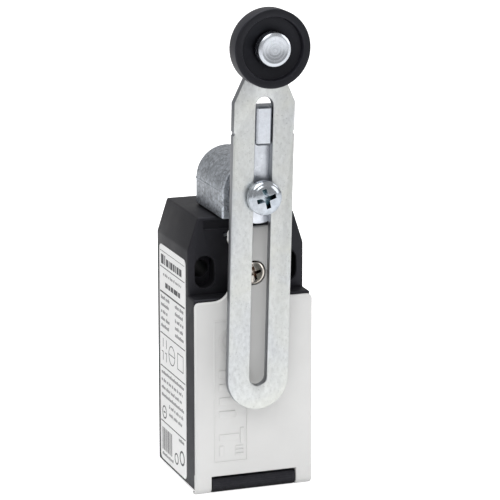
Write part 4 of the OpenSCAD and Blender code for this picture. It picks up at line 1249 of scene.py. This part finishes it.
def lay_floor():
    """Pale floor that shows white and throws a soft glow up at the switch's front."""
    size, below, white = 8, 0.02 * MM, (1.0, 1.0, 1.0, 1.0)
    seen_glow, near_glow = (0.85, 0.85, 0.85, 1.0), 0.30
    bpy.ops.object.select_all(action="DESELECT")
    bpy.ops.mesh.primitive_plane_add(size=size, location=(0, 0, CAD_BOX[0].z - below))
    floor = settle(made("floor"))
    pale, tree, shader = start_material("pale_floor", Roughness=0.85, Emission_Color=white)
    place = object_place(tree)
    feed(tree, shader, mixed(tree, noise(tree, place, 3.0), rgba((0.9, 0.9, 0.9)), rgba((0.93, 0.93, 0.93))))
    depth = node(tree, "ShaderNodeSeparateXYZ", {0: place}).outputs["Y"]
    glow = times(tree, spread(tree, depth, -0.03, 0.06, near_glow, 0.0), spread(tree, depth, -0.7, -0.1))
    seen = node(tree, "ShaderNodeLightPath").outputs["Is Camera Ray"]
    tree.links.new(mixed(tree, seen, glow, seen_glow), shader.inputs["Emission Strength"])
    floor.data.materials.append(pale)


def light_studio():
    """White surroundings, softer on the switch than they look, and three disc lights."""
    soft, full = 0.44, 1.0
    world = bpy.data.worlds.new("studio")
    bpy.context.scene.world = world
    world.use_nodes = True
    tree = world.node_tree
    backdrop = tree.nodes["Background"]
    backdrop.inputs["Color"].default_value = (1.0, 1.0, 1.0, 1.0)
    seen = node(tree, "ShaderNodeLightPath").outputs["Is Camera Ray"]
    tree.links.new(spread(tree, seen, 0.0, 1.0, soft, full), backdrop.inputs["Strength"])
    for name, (place, width, power) in LIGHTS.items():
        bpy.ops.object.select_all(action="DESELECT")
        bpy.ops.object.light_add(type="AREA", location=place)
        light = bpy.context.object
        light.name = name
        light.data.shape = "DISK"
        light.data.size = width
        light.data.energy = power
        face(light, SWITCH_MIDDLE - Vector(place))


def set_camera():
    scene = bpy.context.scene
    view = scene.switch_view
    a, e = view.azimuth, view.elevation
    back = Vector((math.sin(a) * math.cos(e), -math.cos(a) * math.cos(e), math.sin(e)))
    bpy.ops.object.camera_add(location=Vector(view.target) + back * view.distance)
    camera = bpy.context.object
    camera.name = "camera"
    face(camera, -back, view.roll)
    camera.data.lens = view.lens
    camera.data.sensor_width = 36
    camera.data.clip_start, camera.data.clip_end = 0.01, 30
    scene.camera = camera
    scene.view_settings.view_transform = "Standard"


# ---------------------------------------------------------------- operators and panel

class SWITCH_OT_housing(bpy.types.Operator):
    """Black moulded housing with its entry, holes and hinge barrel"""
    bl_idname = "switch.housing"
    bl_label = "Housing"
    bl_options = {"REGISTER", "UNDO"}

    def execute(self, context):
        make_housing()
        return {"FINISHED"}


class SWITCH_OT_cover(bpy.types.Operator):
    """Light grey cover with its tongue, ears and raised mark"""
    bl_idname = "switch.cover"
    bl_label = "Cover"
    bl_options = {"REGISTER", "UNDO"}

    def execute(self, context):
        make_cover()
        return {"FINISHED"}


class SWITCH_OT_label(bpy.types.Operator):
    """White label on the side and its plain print"""
    bl_idname = "switch.label"
    bl_label = "Label"
    bl_options = {"REGISTER", "UNDO"}

    def execute(self, context):
        make_label()
        return {"FINISHED"}


class SWITCH_OT_head(bpy.types.Operator):
    """Cast zinc head with its spigot"""
    bl_idname = "switch.head"
    bl_label = "Head"
    bl_options = {"REGISTER", "UNDO"}

    def execute(self, context):
        make_head()
        return {"FINISHED"}


class SWITCH_OT_hub(bpy.types.Operator):
    """Hub plate behind the lever, with its key"""
    bl_idname = "switch.hub"
    bl_label = "Hub"
    bl_options = {"REGISTER", "UNDO"}

    def execute(self, context):
        make_hub()
        return {"FINISHED"}


class SWITCH_OT_lever(bpy.types.Operator):
    """Slotted lever plate"""
    bl_idname = "switch.lever"
    bl_label = "Lever"
    bl_options = {"REGISTER", "UNDO"}

    def execute(self, context):
        make_lever()
        return {"FINISHED"}


class SWITCH_OT_screws(bpy.types.Operator):
    """Clamp screw, toothed washer and cover screw"""
    bl_idname = "switch.screws"
    bl_label = "Screws"
    bl_options = {"REGISTER", "UNDO"}

    def execute(self, context):
        make_clamp_screw()
        make_lock_washer()
        make_cover_screw()
        return {"FINISHED"}


class SWITCH_OT_roller(bpy.types.Operator):
    """Roller and its rivet"""
    bl_idname = "switch.roller"
    bl_label = "Roller"
    bl_options = {"REGISTER", "UNDO"}

    def execute(self, context):
        make_roller()
        make_roller_pin()
        return {"FINISHED"}


class SWITCH_OT_inner(bpy.types.Operator):
    """Finishes of the pieces inside, which keep their CAD shape"""
    bl_idname = "switch.inner"
    bl_label = "Inner pieces"
    bl_options = {"REGISTER", "UNDO"}

    def execute(self, context):
        finish_inner_pieces()
        return {"FINISHED"}


class SWITCH_OT_stage(bpy.types.Operator):
    """Floor, lights and camera"""
    bl_idname = "switch.stage"
    bl_label = "Stage"
    bl_options = {"REGISTER", "UNDO"}

    def execute(self, context):
        lay_floor()
        light_studio()
        set_camera()
        return {"FINISHED"}


OPERATORS = (SWITCH_OT_housing, SWITCH_OT_cover, SWITCH_OT_label, SWITCH_OT_head, SWITCH_OT_hub,
             SWITCH_OT_lever, SWITCH_OT_screws, SWITCH_OT_roller, SWITCH_OT_inner, SWITCH_OT_stage)
GROUPS_OF_VALUES = {"switch_sizes": SwitchSizes, "switch_colours": SwitchColours, "switch_view": SwitchView}


class SWITCH_PT_panel(bpy.types.Panel):
    """Lists the operators that build the switch, and its sizes, colours and view"""
    bl_label = "Limit switch"
    bl_idname = "SWITCH_PT_panel"
    bl_space_type = "VIEW_3D"
    bl_region_type = "UI"
    bl_category = "Limit switch"

    def draw(self, context):
        for entry in OPERATORS:
            self.layout.operator(entry.bl_idname)
        for name, kind in GROUPS_OF_VALUES.items():
            column = self.layout.column()
            for value in kind.__annotations__:
                column.prop(getattr(context.scene, name), value)


CLASSES = (*GROUPS_OF_VALUES.values(), *OPERATORS, SWITCH_PT_panel)


def register():
    for entry in CLASSES:
        bpy.utils.register_class(entry)
    for name, kind in GROUPS_OF_VALUES.items():
        setattr(bpy.types.Scene, name, PointerProperty(type=kind))


def unregister():
    for name in GROUPS_OF_VALUES:
        delattr(bpy.types.Scene, name)
    for entry in reversed(CLASSES):
        bpy.utils.unregister_class(entry)


def main():
    register()
    for entry in OPERATORS:
        getattr(bpy.ops.switch, entry.bl_idname.split(".")[1])()


if __name__ == "__main__":
    main()
